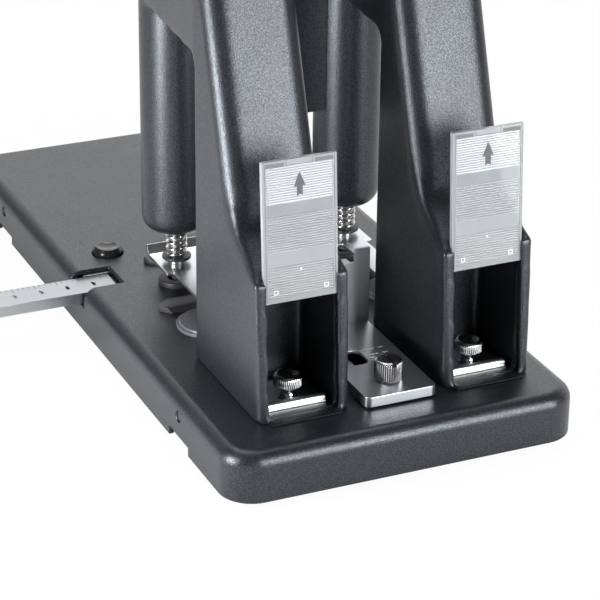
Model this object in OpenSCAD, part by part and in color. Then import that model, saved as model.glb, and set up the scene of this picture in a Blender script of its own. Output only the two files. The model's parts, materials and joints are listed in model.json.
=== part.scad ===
// Heavy-duty two-hole punch. Millimetres, +Z up, front towards -Y.
// The origin is on the desk, midway between the towers and half-way along the base.
// The cutters stand on the line y = pin_y, one hole pitch apart. Tower heights count from the deck.

/* [Base] */
// Width of the base
base_w = 152; // [146:1:180]
// Distance of the base's middle to the right of the cutters' middle
base_shift = 4; // [0:0.5:8]
// Length of the base, front to rear
base_l = 336; // [325:1:380]
// Height of the base shell
base_h = 21; // [19:0.5:28]
// Wall thickness of the base shell
base_wall = 2.4; // [1.8:0.1:3]
// Corner radius of the base seen from above
base_corner_r = 14; // [11:1:24]
// Radius of the rounded top edge of the base
base_edge_r = 6; // [5:0.5:8]
// Depth of the deck behind the towers
rear_deck = 22; // [16:1:34]
// Height of the rubber feet under the shell
foot_h = 1.5; // [1:0.1:4]
// Diameter of the rubber feet
foot_d = 18; // [12:1:24]
// Length of the finger notches in the lower edge
notch_l = 20; // [12:1:30]
// Height of the finger notches
notch_h = 4; // [2:0.5:6]
// Distance of the notches and clip holes from the middle of the base
clip_y = 112; // [80:1:120]
// Diameter of the clip holes in the long sides
clip_hole_d = 4.6; // [3:0.1:6]

/* [Chip tray] */
// Thickness of the tray floor
tray_floor = 2; // [1.2:0.1:3]
// Thickness of the tray wall
tray_wall = 1.6; // [1.2:0.1:2.4]
// Height of the tray wall
tray_h = 8; // [5:0.5:9]

/* [Punching] */
// Pitch of the two holes
hole_pitch = 80; // [76:0.5:90]
// Outer diameter of a hollow cutter
pin_d = 6; // [5:0.1:6.5]
// Bore of a hollow cutter at its edge
pin_bore_d = 5; // [4:0.1:5.4]
// Working stroke of the cutters
pin_stroke = 8; // [6:0.1:8.5]
// Diameter of a cutting disc
die_d = 16; // [15:0.5:20]
// Height of a cutting disc and of the paper rests
die_h = 2.6; // [2:0.1:3.4]
// Outer diameter of the ring groove in a cutting disc
groove_d = 8.4; // [7.4:0.1:9]
// Free height of the paper slot over the discs
slot_h = 5.7; // [5.2:0.1:8]
// Distance from the cutters back to the tower legs
throat_depth = 71; // [68:1:84]

/* [Stripper plate] */
// Thickness of the stripper plate
plate_t = 1.5; // [1:0.1:2]
// Length of the stripper plate
plate_w = 97; // [92:1:110]
// Plate behind the cutters
plate_rear = 10.5; // [9:0.5:13]
// Flat plate in front of the cutters
plate_front = 12; // [9:0.5:16]
// Length of the turned-up front lip
lip_l = 5; // [3:0.5:8]
// Width of the two arms that carry the plate
plate_arm_w = 11; // [8:0.5:13]
// Height of the arm tabs on the legs
plate_tab_h = 17; // [12:0.5:24]

/* [Towers] */
// Width of a tower
tower_w = 39; // [37.5:0.5:40]
// Length of a tower leg, front to rear
leg_l = 66; // [62:1:80]
// Height of a tower above the deck
tower_h = 190; // [184:1:205]
// Height of the head that carries the nose column
head_h = 60; // [57:0.5:64]
// Diameter of the nose column round a cutter
nose_d = 29.5; // [28:0.5:31]
// Height of the nose end above the deck
nose_drop = 26; // [25:0.5:32]
// Rounding of the nose end
nose_edge_r = 7; // [3:0.5:8]
// Lean of the bay face
bay_lean = 3.75; // [2:0.25:5]
// Slope of the upper rear face from the vertical
slope = 18; // [16:0.5:22]
// Height of the bay posts
post_h = 58; // [54:0.5:61]
// Distance from the leg's rear foot to the start of the slope
shoulder_in = 26; // [22:0.5:30]
// Height of the start of the slope
shoulder_h = 72.5; // [69:0.5:76]
// Rounding of the two long rear edges
slope_edge_r = 9; // [5:0.5:11]
// Rounding of the head at the rear
head_r = 24; // [10:1:30]
// Rounding of the head at the front
head_front_r = 4; // [2:0.5:4]

/* [Rear bays] */
// Clear width of a bay
bay_w = 29.4; // [27:0.2:30]
// Depth of a bay
bay_depth = 37; // [32:0.5:42]
// Inner height of a bay
bay_h = 53; // [46:0.5:55]
// Width of a clear cover
cover_w = 31.8; // [30.8:0.1:32.6]
// Height of a clear cover
cover_h = 57; // [52:0.5:60]
// Thickness of a clear cover
cover_t = 2; // [1.4:0.1:2.4]
// Lift of a cover as photographed
cover_lift = 48; // [36:0.5:50]
// Lip behind which a cover slides
post_lip = 1.2; // [0.8:0.1:2]
// Head diameter of a bay thumbscrew
bay_screw_d = 11.8; // [8:0.2:13]
// Head height of a bay thumbscrew
bay_screw_h = 5.2; // [3:0.2:7]

/* [Depth stop] */
// Width of the stop's foot
stop_w = 31; // [26:0.5:32]
// Height of the stop's foot
stop_h = 5.2; // [4:0.2:7]
// Length of the stop's foot
stop_l = 67; // [60:1:70]
// Width of the upright
upright_w = 33; // [26:0.5:34]
// Height of the upright
upright_h = 38; // [30:0.5:42]
// Sheet thickness of the stop
stop_t = 1.4; // [1:0.1:1.8]
// Travel of the stop towards the cutters
stop_travel = 59; // [40:1:59]
// Diameter of the stop's thumb nut
stop_screw_d = 11.4; // [9:0.2:13]
// Height of the stop's thumb nut
stop_screw_h = 8.8; // [5:0.2:10]

/* [Ruler] */
// Width of the ruler
ruler_w = 15.4; // [13:0.2:16]
// Height of the ruler channel
ruler_h = 5; // [4:0.2:5.6]
// Sheet thickness of the ruler
ruler_t = 1.2; // [0.8:0.1:1.4]
// Length of the ruler
ruler_l = 112; // [90:1:115]
// Room between the ruler's rail and the far wall when the ruler is pushed in
rail_room = 1.6; // [1:0.1:6]
// Travel of the ruler into the base
ruler_travel = 93; // [60:1:95]
// Ruler axis in front of the cutters
ruler_ahead = 18; // [17.5:0.5:20]
// Height of the turned-up end of the ruler
ruler_end_h = 14; // [8:0.5:18]
// Diameter of the push button
button_d = 13.2; // [10:0.2:15]
// Height of the push button above the deck
button_h = 3.3; // [3:0.1:6]
// Travel of the push button
button_travel = 2; // [1:0.1:2.4]

/* [Handle] */
// Swing of the handle
swing = 46; // [40:1:46]
// Height of the handle above level at rest
lever_rise = 62; // [58:1:72]
// Diameter of the handle shaft
shaft_d = 12; // [10:0.5:13]
// Depth of the shaft below the top of the towers
shaft_below = 27; // [26:0.5:32]
// Diameter of the lever tube
lever_d = 20; // [16:0.5:22]
// Wall of the lever tube
lever_wall = 2.5; // [1.5:0.25:4]
// Reach of the lever tube from the shaft
lever_reach = 218; // [190:1:280]
// Diameter of the grip
grip_d = 30; // [26:0.5:36]
// Length of the grip
grip_l = 118; // [90:1:130]
// Width of the hub between the towers
hub_w = 30; // [26:0.5:34]
// Cam lift already unwound at rest
cam_rest = 9; // [8.6:0.1:9.5]
// Width of a cam
cam_w = 12; // [8:0.5:12]
// Diameter of a plunger
plunger_d = 16; // [14:0.5:16.5]

/* [Springs] */
// Wire diameter of a return spring
wire_d = 1.3; // [1:0.1:1.4]
// Outer diameter of a return spring
coil_d = 9.6; // [9.2:0.1:10.4]
// Curls of a return spring
coil_turns = 11; // [8:1:12]

/* [Fits] */
// Radial clearance of running fits
fit = 0.04; // [0.02:0.01:0.08]
// Gap between pieces that slide past each other
slide = 0.3; // [0.25:0.05:0.4]

/* [Hidden] */
$fn = 48;

// Places that follow from the driving sizes
deck = foot_h + base_h;
under = deck - base_wall;
base_right = base_shift + base_w / 2;
foot_inset = 24;
leg_rear_y = base_l / 2 - rear_deck;
leg_front_y = leg_rear_y - leg_l;
pin_y = leg_front_y - throat_depth;
side_x = hole_pitch / 2;
nose_r = nose_d / 2;
throat_h = tower_h - head_h;
SIDES = [1, -1];
RIGHT = 1;
LEFT = -1;

// Colours
BLACK = [0.10, 0.10, 0.11];
SHEET = [0.78, 0.79, 0.80];
STEEL = [0.62, 0.63, 0.65];
RUBBER = [0.06, 0.06, 0.06];
CLEAR = [0.85, 0.88, 0.90, 0.5];
BRONZE = [0.70, 0.55, 0.32];

// Cam drive: the cam is the involute of a circle whose radius turns the swing into the stroke
cam_r = pin_stroke / (swing * PI / 180);
cam_hub_d = 2 * cam_rest - 1;
cam_over = 2;
cam_steps = 12;
shaft_y = pin_y + cam_r;
shaft_h = tower_h - shaft_below;
shaft_z = deck + shaft_h;
cam_reach = norm([cam_r, cam_rest + cam_r * (swing + cam_over) * PI / 180]);
cam_room_r = cam_reach + 2 * slide;
cam_slot_w = cam_w + 2 * slide;

// Plunger, cutter and spring heights above the deck
plunger_top = shaft_h - cam_rest - slide;
plunger_bottom = nose_drop + 19;
pin_seat = 14;
plate_bottom = die_h + slot_h;
plate_top = plate_bottom + plate_t;
bush_d = pin_d + 1.4;
bush_h = 2.1;
washer_d = coil_d + 3;
washer_t = 1.3;
washer_top = plate_top + bush_h + washer_t;
pin_tip = plate_bottom + slide;
nose_hole_d = coil_d + 1.6;
nose_floor = 6;
spring_bottom = washer_top + 0.05;
spring_top = plunger_bottom - 0.05;
pin_screw_d = 4;
chip_h = 7;
chip_w = 10;
chip_up = throat_h + 3;
set_screw_up = 7;

// Tower head, shaft fits and bridge
taper_r = nose_r - 0.3;
taper_w = 2 * (taper_r + (tower_w / 2 - taper_r) * cam_r / throat_depth);
seat_x = taper_w / 2 - 1.2;
seat_d = 21;
bush_od = shaft_d + 4;
cap_t = 3;
head_cap_t = 3;
head_cap_l = 2 * cam_room_r - 3;
bridge_t = 14;
bridge_bottom = 72.5;
hub_d = 34;
bridge_h = throat_h - 2 - bridge_bottom;
dowel_d = 5;
dowel_in = 4;
dowel_zs = [bridge_bottom + 9, bridge_bottom + bridge_h - 9];
tower_screw_d = 6;
tower_screw_in = 16;
tower_screw_dx = 11;
tower_screw_y = leg_front_y + (leg_l - bay_depth) / 2;
fillet_r = 6;
shoulder_r = 14;
run_out = 9;
leg_corner_r = 4;

// Bay
groove_t = cover_t + 2 * slide;
cover_foot = 1.2;
sill_t = 0.8;
sill_out = 3;
bay_screw_y = leg_rear_y - 17;
bay_screw_shank = 4;
bay_plate_t = 1.5;
bay_plate_w = bay_w - 4;
bay_plate_rear = 8;
bay_plate_l = 24;
bead_d = 3.6;
bead_in = 2.4;
bay_neck = 5;
bead_room = leg_rear_y - bay_screw_y - bay_plate_rear - bead_in - bead_d / 2 - slide;
bay_foot_d = min(bay_screw_d - 1.6, 2 * bead_room);
bay_nut_af = bay_screw_shank + 3;
screw_tail = 9;

// Paper rests
bar_y = pin_y + 23;
bar_w = 14;
bar_inner = 22;
bar_outer = base_right - 22;
front_bar_outer = bar_outer - 12;
front_bar_w = 10;
rest_d = 27;
rest_x = bar_outer - rest_d / 2 - 1;
rest_y = bar_y + bar_w / 2 + rest_d / 2 + 2;

// Depth stop
stop_rear_y = leg_rear_y + 4;
stop_front_y = stop_rear_y - stop_l;
stop_screw_y = leg_rear_y - 9;
stop_shank = 5;
stop_slot_w = stop_shank + 2 * slide;
stop_foot = [14, 10, 4];
stop_corner_r = 2.6;
stop_lift = 0.8;
stop_notch = [19, 6];
window = [13.5, 12.5];
window_at = [7, leg_rear_y - 30.5];
scale_t = 0.4;

// Plate arms
arm_x = side_x;
plate_tab_y = leg_front_y;
plate_screw_d = 4;
plate_screw_in = 9;
plate_screw_up = plate_tab_h - 6;

// Ruler and button
ruler_y = pin_y - ruler_ahead;
ruler_top = under - slide;
ruler_in_x = base_right - 17;
guide_wall = 1.4;
guide_gap = 0.4;
guide_w = ruler_w + 2 * guide_gap + 2 * guide_wall;
rail_l = ruler_in_x - ruler_travel - (base_shift - base_w / 2 + base_wall + rail_room);
guide_in_x = ruler_in_x - rail_l - 2;
guide_out_x = base_right - base_edge_r - 0.4;
cut_w = ruler_w + 3;
rail_w = ruler_w - 2 * ruler_t - 1;
button_x = base_right - 23;
button_y = ruler_y - ruler_w / 2 - 15.5;
button_skirt = 2;
button_stem_d = 5;
seat_floor = 1.5;
seat_below = 12;

// Lever
lever_in = shaft_d / 2 + 11;
socket_end = lever_in + 28;
socket_d = lever_d + 7;
grip_wall = (grip_d - lever_d) / 2;
grip_start = lever_reach - grip_l + 8;

function unit(v) = v / norm(v);

// A closed outline whose corners [x, y, r] are rounded by arcs of radius r
function rounded(pts, n = 8) = [for (i = [0 : len(pts) - 1])
    let (
        count = len(pts),
        p = [pts[i][0], pts[i][1]],
        before = pts[(i + count - 1) % count],
        after = pts[(i + 1) % count],
        r = pts[i][2],
        u = unit([before[0], before[1]] - p),
        v = unit([after[0], after[1]] - p),
        half = acos(u * v) / 2,
        o = r == 0 ? p : p + unit(u + v) * r / sin(half),
        s = p + u * r / tan(half) - o,
        e = p + v * r / tan(half) - o,
        a = atan2(s[1], s[0]),
        turn = (atan2(e[1], e[0]) - a + 540) % 360 - 180
    )
    each r == 0 ? [p] : [for (k = [0 : n]) o + r * [cos(a + turn * k / n), sin(a + turn * k / n)]]];

// Carries a flat shape drawn in (y, z) into a prism of width w across x
module across(w) {
    rotate([90, 0, 90])
        linear_extrude(w, center = true)
            children();
}

module rod_x(d, x0, x1) {
    translate([x0, 0, 0])
        rotate([0, 90, 0])
            cylinder(d = d, h = x1 - x0);
}

module tube(od, id, h) {
    difference() {
        cylinder(d = od, h = h);
        translate([0, 0, -1]) cylinder(d = id, h = h + 2);
    }
}

module rounded_plan(w, l, r) {
    polygon(rounded([[-w / 2, -l / 2, r], [w / 2, -l / 2, r], [w / 2, l / 2, r], [-w / 2, l / 2, r]]));
}

// Section of a slab's rim: a wall of height h whose upper outer edge is a quarter circle
module rim(r, h, edge) {
    square([r - edge, h]);
    square([r, h - edge]);
    translate([r - edge, h - edge]) intersection() {
        circle(edge);
        square(edge);
    }
}

// Slab with round corners and a rounded top edge: a core, four straight rims and four quarter turns
module slab(w, l, h, corner, edge) {
    cx = w / 2 - corner;
    cy = l / 2 - corner;
    translate([-cx, -cy, 0]) cube([2 * cx, 2 * cy, h]);
    for (a = [0, 180]) rotate(a) {
        translate([cx, cy, 0]) rotate([90, 0, 0]) linear_extrude(2 * cy) rim(corner, h, edge);
        translate([-cx, cy, 0]) rotate([90, 0, 90]) linear_extrude(2 * cx) rim(corner, h, edge);
        translate([cx, cy, 0]) rotate_extrude(angle = 90) rim(corner, h, edge);
        translate([-cx, cy, 0]) rotate(90) rotate_extrude(angle = 90) rim(corner, h, edge);
    }
}

// Helical spring: one tube of six sides, eight rings to a curl, and its least gap to itself
RINGS = 8;
WIRE_SIDES = 6;
function coil_point(i, r, rise) = [r * cos(360 * i / RINGS), r * sin(360 * i / RINGS), rise * i / RINGS];
function coil_gap(r, rise, turns, wire) = min([for (i = [0 : RINGS * turns])
    for (j = [i + RINGS * 3 / 4 : 1 : RINGS * turns])
        norm(coil_point(i, r, rise) - coil_point(j, r, rise))]) - wire;

module coil(outer, wire, turns, height) {
    r = (outer - wire) / 2;
    rise = (height - wire) / turns;
    last = RINGS * turns;
    echo(least_coil_gap = coil_gap(r, rise, turns, wire));
    pts = [for (i = [0 : last]) for (k = [0 : WIRE_SIDES - 1])
        let (
            a = 360 * i / RINGS,
            out = [cos(a), sin(a), 0],
            along = unit([-2 * PI * r * sin(a), 2 * PI * r * cos(a), rise]),
            up = cross(out, along),
            t = 360 * k / WIRE_SIDES
        )
        coil_point(i, r, rise) + wire / 2 * (cos(t) * out + sin(t) * up)];
    sides = [for (i = [0 : last - 1]) for (k = [0 : WIRE_SIDES - 1])
        let (a = i * WIRE_SIDES + k, b = i * WIRE_SIDES + (k + 1) % WIRE_SIDES)
        each [[a, b, b + WIRE_SIDES], [a, b + WIRE_SIDES, a + WIRE_SIDES]]];
    ends = [for (k = [1 : WIRE_SIDES - 2])
        each [[0, k + 1, k], [last * WIRE_SIDES, last * WIRE_SIDES + k, last * WIRE_SIDES + k + 1]]];
    translate([0, 0, wire / 2])
        polyhedron(concat(pts), concat(sides, ends));
}

// Outline of a knurled head: flutes between two radii
module fluted(d, flutes, depth) {
    polygon([for (i = [0 : 2 * flutes - 1])
        (d / 2 - (i % 2) * depth) * [cos(180 * i / flutes), sin(180 * i / flutes)]]);
}

module base_shell() {
    color(BLACK) difference() {
        translate([base_shift, 0, foot_h])
            slab(base_w, base_l, base_h, base_corner_r, base_edge_r);
        translate([base_shift, 0, foot_h - 1])
            slab(base_w - 2 * base_wall, base_l - 2 * base_wall, base_h - base_wall + 1,
                base_corner_r - base_wall, base_edge_r - base_wall);
        for (s = SIDES) {
            translate([s * side_x, pin_y, under - 1])
                cylinder(d = groove_d + 3, h = base_wall + 2);
            translate([s * side_x, bay_screw_y, under - 1])
                cylinder(d = bay_screw_shank + 2 * slide, h = base_wall + 2);
            for (t = SIDES) {
                translate([s * side_x + t * tower_screw_dx, tower_screw_y, under - 1])
                    cylinder(d = tower_screw_d + 2 * fit, h = base_wall + 2);
                translate([base_shift + s * base_w / 2, t * clip_y, foot_h])
                    cube([4 * base_wall, notch_l, 2 * notch_h], center = true);
                translate([base_shift + s * base_w / 2, t * clip_y, clip_z()])
                    rotate([0, 90, 0])
                        cylinder(d = clip_hole_d, h = 4 * base_wall, center = true);
            }
        }
        stop_slot();
        translate([button_x, button_y, under - 1])
            cylinder(d = button_d + 2 * slide, h = base_wall + 2);
        translate([ruler_in_x - 1.5, ruler_y - cut_w / 2, ruler_top - ruler_h - 1.5])
            cube([base_w, cut_w, base_h]);
    }
}

function clip_z() = foot_h + tray_floor + tray_h + 3;

module stop_slot() {
    translate([0, 0, under - 1]) linear_extrude(base_wall + 2) {
        translate([-stop_slot_w / 2, stop_screw_y - stop_travel]) square([stop_slot_w, stop_travel]);
        for (y = [stop_screw_y, stop_screw_y - stop_travel]) translate([0, y]) circle(d = stop_slot_w);
    }
}

// Tray with a low wall and four sprung clips whose pegs snap into the holes of the shell
module bottom_tray() {
    w = base_w - 2 * base_wall - 2 * slide;
    l = base_l - 2 * base_wall - 2 * slide;
    r = base_corner_r - base_wall - slide;
    clip_w = 12;
    color(BLACK) translate([base_shift, 0, foot_h]) {
        linear_extrude(tray_floor) rounded_plan(w, l, r);
        translate([0, 0, tray_floor]) linear_extrude(tray_h) difference() {
            rounded_plan(w, l, r);
            rounded_plan(w - 2 * tray_wall, l - 2 * tray_wall, r - tray_wall);
        }
        for (s = SIDES) for (t = SIDES) {
            translate([s * (w - tray_wall) / 2, t * clip_y, tray_floor + tray_h + 2.5])
                cube([tray_wall, clip_w, 5.2], center = true);
            translate([s * (w / 2 - tray_wall / 2), t * clip_y, clip_z() - foot_h])
                rotate([0, 90 * s, 0])
                    cylinder(d = clip_hole_d - 2 * slide, h = tray_wall / 2 + slide + base_wall - 0.6);
        }
    }
}

// One foot near each corner and one under the middle, below the cutters' load
module rubber_feet() {
    color(RUBBER) {
        cylinder(d1 = foot_d - 1, d2 = foot_d, h = foot_h);
        for (s = SIDES) for (t = SIDES)
            translate([base_shift + s * (base_w / 2 - foot_inset), t * (base_l / 2 - foot_inset), 0])
                cylinder(d1 = foot_d - 1, d2 = foot_d, h = foot_h);
    }
}

// Side view of a tower: leg, leaning bay face, shoulder, sloped back, rounded head and the open throat
module tower_side() {
    lean_y = post_h * tan(bay_lean);
    slope_y = leg_rear_y - shoulder_in - (tower_h - shoulder_h) * tan(slope);
    polygon(rounded([
        [leg_front_y, 0, 0],
        [leg_rear_y, 0, 0],
        [leg_rear_y - lean_y, post_h, 2.5],
        [leg_rear_y - shoulder_in, shoulder_h, shoulder_r],
        [slope_y, tower_h, head_r],
        [pin_y - nose_r, tower_h, head_front_r],
        [pin_y - nose_r, throat_h, 0],
        [leg_front_y, throat_h, fillet_r]]));
}

// Plan of a tower: leg with rounded rear corners, taper towards the nose, round nose
module tower_plan() {
    polygon(rounded([
        [-tower_w / 2, leg_rear_y, leg_corner_r], [-tower_w / 2, leg_front_y, 0], [-taper_r, pin_y, 0],
        [taper_r, pin_y, 0], [tower_w / 2, leg_front_y, 0], [tower_w / 2, leg_rear_y, leg_corner_r]]));
    translate([0, pin_y]) circle(nose_r);
}

// What may stay behind the sloped back: all below the shoulder, and above it a block with rounded long edges
module back_block() {
    far = 2 * leg_l + throat_depth;
    split = shoulder_h + 6.5;
    half = tower_w / 2 + 0.4;
    translate([-tower_w, leg_rear_y + 20 - 2 * far, -5]) cube([2 * tower_w, 2 * far, split + 5]);
    intersection() {
        translate([0, leg_rear_y - shoulder_in, shoulder_h]) rotate([slope, 0, 0])
            linear_extrude(3 * tower_h, center = true)
                polygon(rounded([[-half, 0, slope_edge_r], [-half, -far, 0],
                    [half, -far, 0], [half, 0, slope_edge_r]]));
        translate([-tower_w, leg_rear_y + 20 - 2 * far, split]) cube([2 * tower_w, 2 * far, 2 * tower_h]);
    }
}

// Lower ends of the rounded long edges: a tilted cut on each side that fades out over the shoulder
module edge_ends() {
    tilt = atan2(slope_edge_r * (sqrt(2) - 1), run_out);
    for (m = [0, 1]) mirror([m, 0, 0])
        translate([tower_w / 2 + 0.4, leg_rear_y - shoulder_in, shoulder_h]) rotate([slope, 0, 0])
            translate([0, 0, 7 - run_out]) rotate(45) rotate([0, -tilt, 0])
                translate([0, -20, 0]) cube([20, 40, run_out]);
}

module in_bay_face() {
    translate([0, leg_rear_y, 0]) rotate([bay_lean, 0, 0]) children();
}

// Front wall of a cover's groove at a height over the deck
function groove_y(z) = leg_rear_y - (post_lip + groove_t) / cos(bay_lean) - z * tan(bay_lean);

module tower_cuts(side) {
    // bay, open to the deck and to the rear, and the grooves of its cover
    across(bay_w) polygon([[leg_rear_y - bay_depth, -1], [leg_rear_y + 1, -1], [leg_rear_y + 1, 2 * post_h],
        [groove_y(2 * post_h) + slide / 2, 2 * post_h], [groove_y(bay_h) + slide / 2, bay_h],
        [leg_rear_y - bay_depth, bay_h]]);
    in_bay_face()
        translate([-cover_w / 2 - slide, -post_lip - groove_t, cover_foot - slide])
            cube([cover_w + 2 * slide, groove_t, 2 * post_h]);
    // plunger bore, nose hole and the chip chute from the plunger down to the bay
    translate([0, pin_y, nose_drop + nose_floor])
        cylinder(d = plunger_d + 2 * fit, h = plunger_top - nose_drop - nose_floor + 2);
    translate([0, pin_y, nose_drop - 1]) cylinder(d = nose_hole_d, h = nose_floor + 2);
    chute();
    // cam room, its opening in the head, shaft bores and their seats
    translate([0, shaft_y, shaft_h]) {
        rod_x(2 * cam_room_r, -cam_slot_w / 2, cam_slot_w / 2);
        rod_x(bush_od, -tower_w, tower_w);
        for (m = [0, 1]) mirror([m, 0, 0]) rod_x(seat_d, seat_x, tower_w);
    }
    translate([-cam_slot_w / 2, shaft_y - head_cap_l / 2, shaft_h]) cube([cam_slot_w, head_cap_l, tower_h]);
    // screw holes in the foot, the arm tab and the sides of the nose
    for (t = SIDES) {
        translate([t * tower_screw_dx, tower_screw_y, -1])
            cylinder(d = tower_screw_d + 2 * fit, h = tower_screw_in + 2);
    }
    translate([0, leg_front_y - 1, plate_bottom + plate_screw_up]) rotate([-90, 0, 0])
        cylinder(d = plate_screw_d + 2 * fit, h = plate_screw_in + 2);
    for (z = dowel_zs) translate([0, pin_y, z]) mirror([side > 0 ? 1 : 0, 0, 0])
        rod_x(dowel_d + 2 * fit, nose_r - dowel_in, nose_r + 2);
}

// Passage for the chips of a hollow cutter: back through the head, then down the leg into the bay
module chute() {
    turn = [leg_front_y + 7, chip_up];
    duct([pin_y, chip_up + 0.5], turn, chip_h);
    duct(turn, [leg_rear_y - bay_depth + 3, bay_h - chip_h], 0);
}

// Straight passage between two points of the side view, run on past its end
module duct(from, to, past) {
    fall = atan2(from[1] - to[1], to[0] - from[0]);
    translate([-chip_w / 2, from[0], from[1]]) rotate([-fall, 0, 0])
        cube([chip_w, norm(to - from) + past, chip_h]);
}

module tower(side) {
    color(BLACK) translate([side * side_x, 0, deck]) {
        difference() {
            union() {
                intersection() {
                    across(2 * tower_w) tower_side();
                    linear_extrude(2 * tower_h) tower_plan();
                    back_block();
                }
                translate([0, pin_y, nose_drop])
                    rotate_extrude()
                        polygon(rounded([[0, 0, 0], [nose_r, 0, nose_edge_r],
                            [nose_r, throat_h - nose_drop, 0], [0, throat_h - nose_drop, 0]]));
            }
            tower_cuts(side);
            edge_ends();
        }
        // sill in the mouth of the bay, behind the bay plate
        translate([-bay_w / 2 - 0.5, leg_rear_y - bay_plate_rear + slide, 0])
            cube([bay_w + 1, bay_plate_rear - slide + sill_out, sill_t]);
    }
}

module tower_screws() {
    head_h = 4;
    color(STEEL) for (s = SIDES) for (t = SIDES)
        translate([s * side_x + t * tower_screw_dx, tower_screw_y, 0]) {
            translate([0, 0, under - head_h]) cylinder(d = tower_screw_d + 4, h = head_h);
            translate([0, 0, under - 1]) cylinder(d = tower_screw_d, h = base_wall + tower_screw_in);
        }
}

// Bar between the two noses, its ends cut to their round sides
module bridge_bar() {
    color(BLACK) difference() {
        translate([-side_x, pin_y - bridge_t / 2, deck + bridge_bottom])
            cube([2 * side_x, bridge_t, bridge_h]);
        for (s = SIDES) {
            translate([s * side_x, pin_y, deck]) cylinder(r = nose_r, h = tower_h);
            for (z = dowel_zs) translate([0, pin_y, deck + z]) mirror([s < 0 ? 1 : 0, 0, 0])
                rod_x(dowel_d + 2 * fit, side_x - nose_r - dowel_in - 2, side_x);
        }
    }
}

module bridge_dowels() {
    color(STEEL) for (s = SIDES) for (z = dowel_zs)
        translate([0, pin_y, deck + z]) mirror([s < 0 ? 1 : 0, 0, 0])
            rod_x(dowel_d, side_x - nose_r - dowel_in - 1.5, side_x - nose_r + dowel_in - 0.5);
}

module head_cap(side) {
    w = cam_slot_w - 2 * fit;
    l = head_cap_l - 2 * fit;
    color(BLACK) translate([side * side_x, shaft_y, deck + tower_h - head_cap_t]) {
        translate([-w / 2, -l / 2, 0]) cube([w, l, head_cap_t]);
        translate([-w / 2, -l / 2, -6]) cube([w, 2, 7]);
        translate([-w / 2, l / 2 - 2, -6]) cube([w, 2, 7]);
    }
}

module shaft_bushes() {
    color(BRONZE) for (s = SIDES) for (t = SIDES)
        translate([s * side_x, shaft_y, shaft_z]) mirror([t < 0 ? 1 : 0, 0, 0]) difference() {
            rod_x(bush_od - 2 * fit, cam_slot_w / 2, seat_x);
            rod_x(shaft_d + 2 * fit, 0, tower_w);
        }
}

module shaft_end_caps() {
    color(BLACK) for (s = SIDES)
        translate([s * (side_x + seat_x), shaft_y, shaft_z]) rotate([0, 90 * s, 0])
            rotate_extrude() polygon(rounded([[0, 0, 0], [seat_d / 2 - slide, 0, 0],
                [seat_d / 2 - slide, cap_t, 1.5], [0, cap_t, 0]]));
}

module handle_shaft() {
    color(STEEL) translate([0, shaft_y, shaft_z])
        rod_x(shaft_d, -side_x - seat_x + slide, side_x + seat_x - slide);
}

// Frame of the lever at rest: its own z runs out along the lever
module along_lever() {
    translate([0, shaft_y, shaft_z]) rotate([90 - lever_rise, 0, 0]) children();
}

module handle_hub() {
    color(BLACK) difference() {
        union() {
            translate([0, shaft_y, shaft_z]) rod_x(hub_d, -hub_w / 2, hub_w / 2);
            along_lever() cylinder(d = socket_d, h = socket_end);
        }
        translate([0, shaft_y, shaft_z]) rod_x(shaft_d + 2 * fit, -hub_w, hub_w);
        along_lever() {
            translate([0, 0, lever_in]) cylinder(d = lever_d + 2 * fit, h = socket_end);
            hub_screw_place() cylinder(d = pin_screw_d + 2 * fit, h = socket_d);
        }
    }
}

module hub_screw_place() {
    translate([0, 0, (lever_in + socket_end) / 2]) rotate([90, 0, 0]) children();
}

module hub_screw() {
    color(STEEL) along_lever() hub_screw_place()
        translate([0, 0, lever_d / 2 + fit]) cylinder(d = pin_screw_d, h = (socket_d - lever_d) / 2 - 0.5);
}

module handle_lever() {
    color(STEEL) along_lever() translate([0, 0, lever_in])
        tube(lever_d, lever_d - 2 * lever_wall, lever_reach - lever_in);
}

// Rubber sleeve with finger grooves and a closed, rounded end
module handle_grip() {
    grooves = 7;
    step = (grip_l - 34) / (grooves - 1);
    color(RUBBER) along_lever() translate([0, 0, grip_start]) difference() {
        rotate_extrude()
            polygon(rounded([[0, 0, 0], [grip_d / 2, 0, 2], [grip_d / 2, grip_l, 7], [0, grip_l, 0]]));
        translate([0, 0, -1]) cylinder(d = lever_d + 2 * fit, h = lever_reach - grip_start + 1 + fit);
        for (i = [0 : grooves - 1]) translate([0, 0, 14 + i * step])
            rotate_extrude() translate([grip_d / 2, 0]) circle(1.1);
    }
}

module shaft_sleeves() {
    color(STEEL) for (m = [0, 1]) mirror([m, 0, 0]) translate([0, shaft_y, shaft_z]) difference() {
        rod_x(shaft_d + 6, hub_w / 2 + fit, side_x - seat_x - slide);
        rod_x(shaft_d + 2 * fit, 0, side_x);
    }
}

// Cam point at turn a: the tangent of the base circle, unwound by the turn
function cam_point(a) = let (reach = cam_rest + cam_r * a * PI / 180)
    [-cam_r * cos(a) - reach * sin(a), cam_r * sin(a) - reach * cos(a)];

module cam(side) {
    color(STEEL) translate([side * side_x, shaft_y, shaft_z]) difference() {
        union() {
            across(cam_w) polygon(concat([[0, 0]],
                [for (k = [0 : cam_steps]) cam_point(-cam_over + (swing + 2 * cam_over) * k / cam_steps)]));
            rod_x(cam_hub_d, -cam_w / 2, cam_w / 2);
        }
        rod_x(shaft_d + 2 * fit, -cam_w, cam_w);
    }
}

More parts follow.
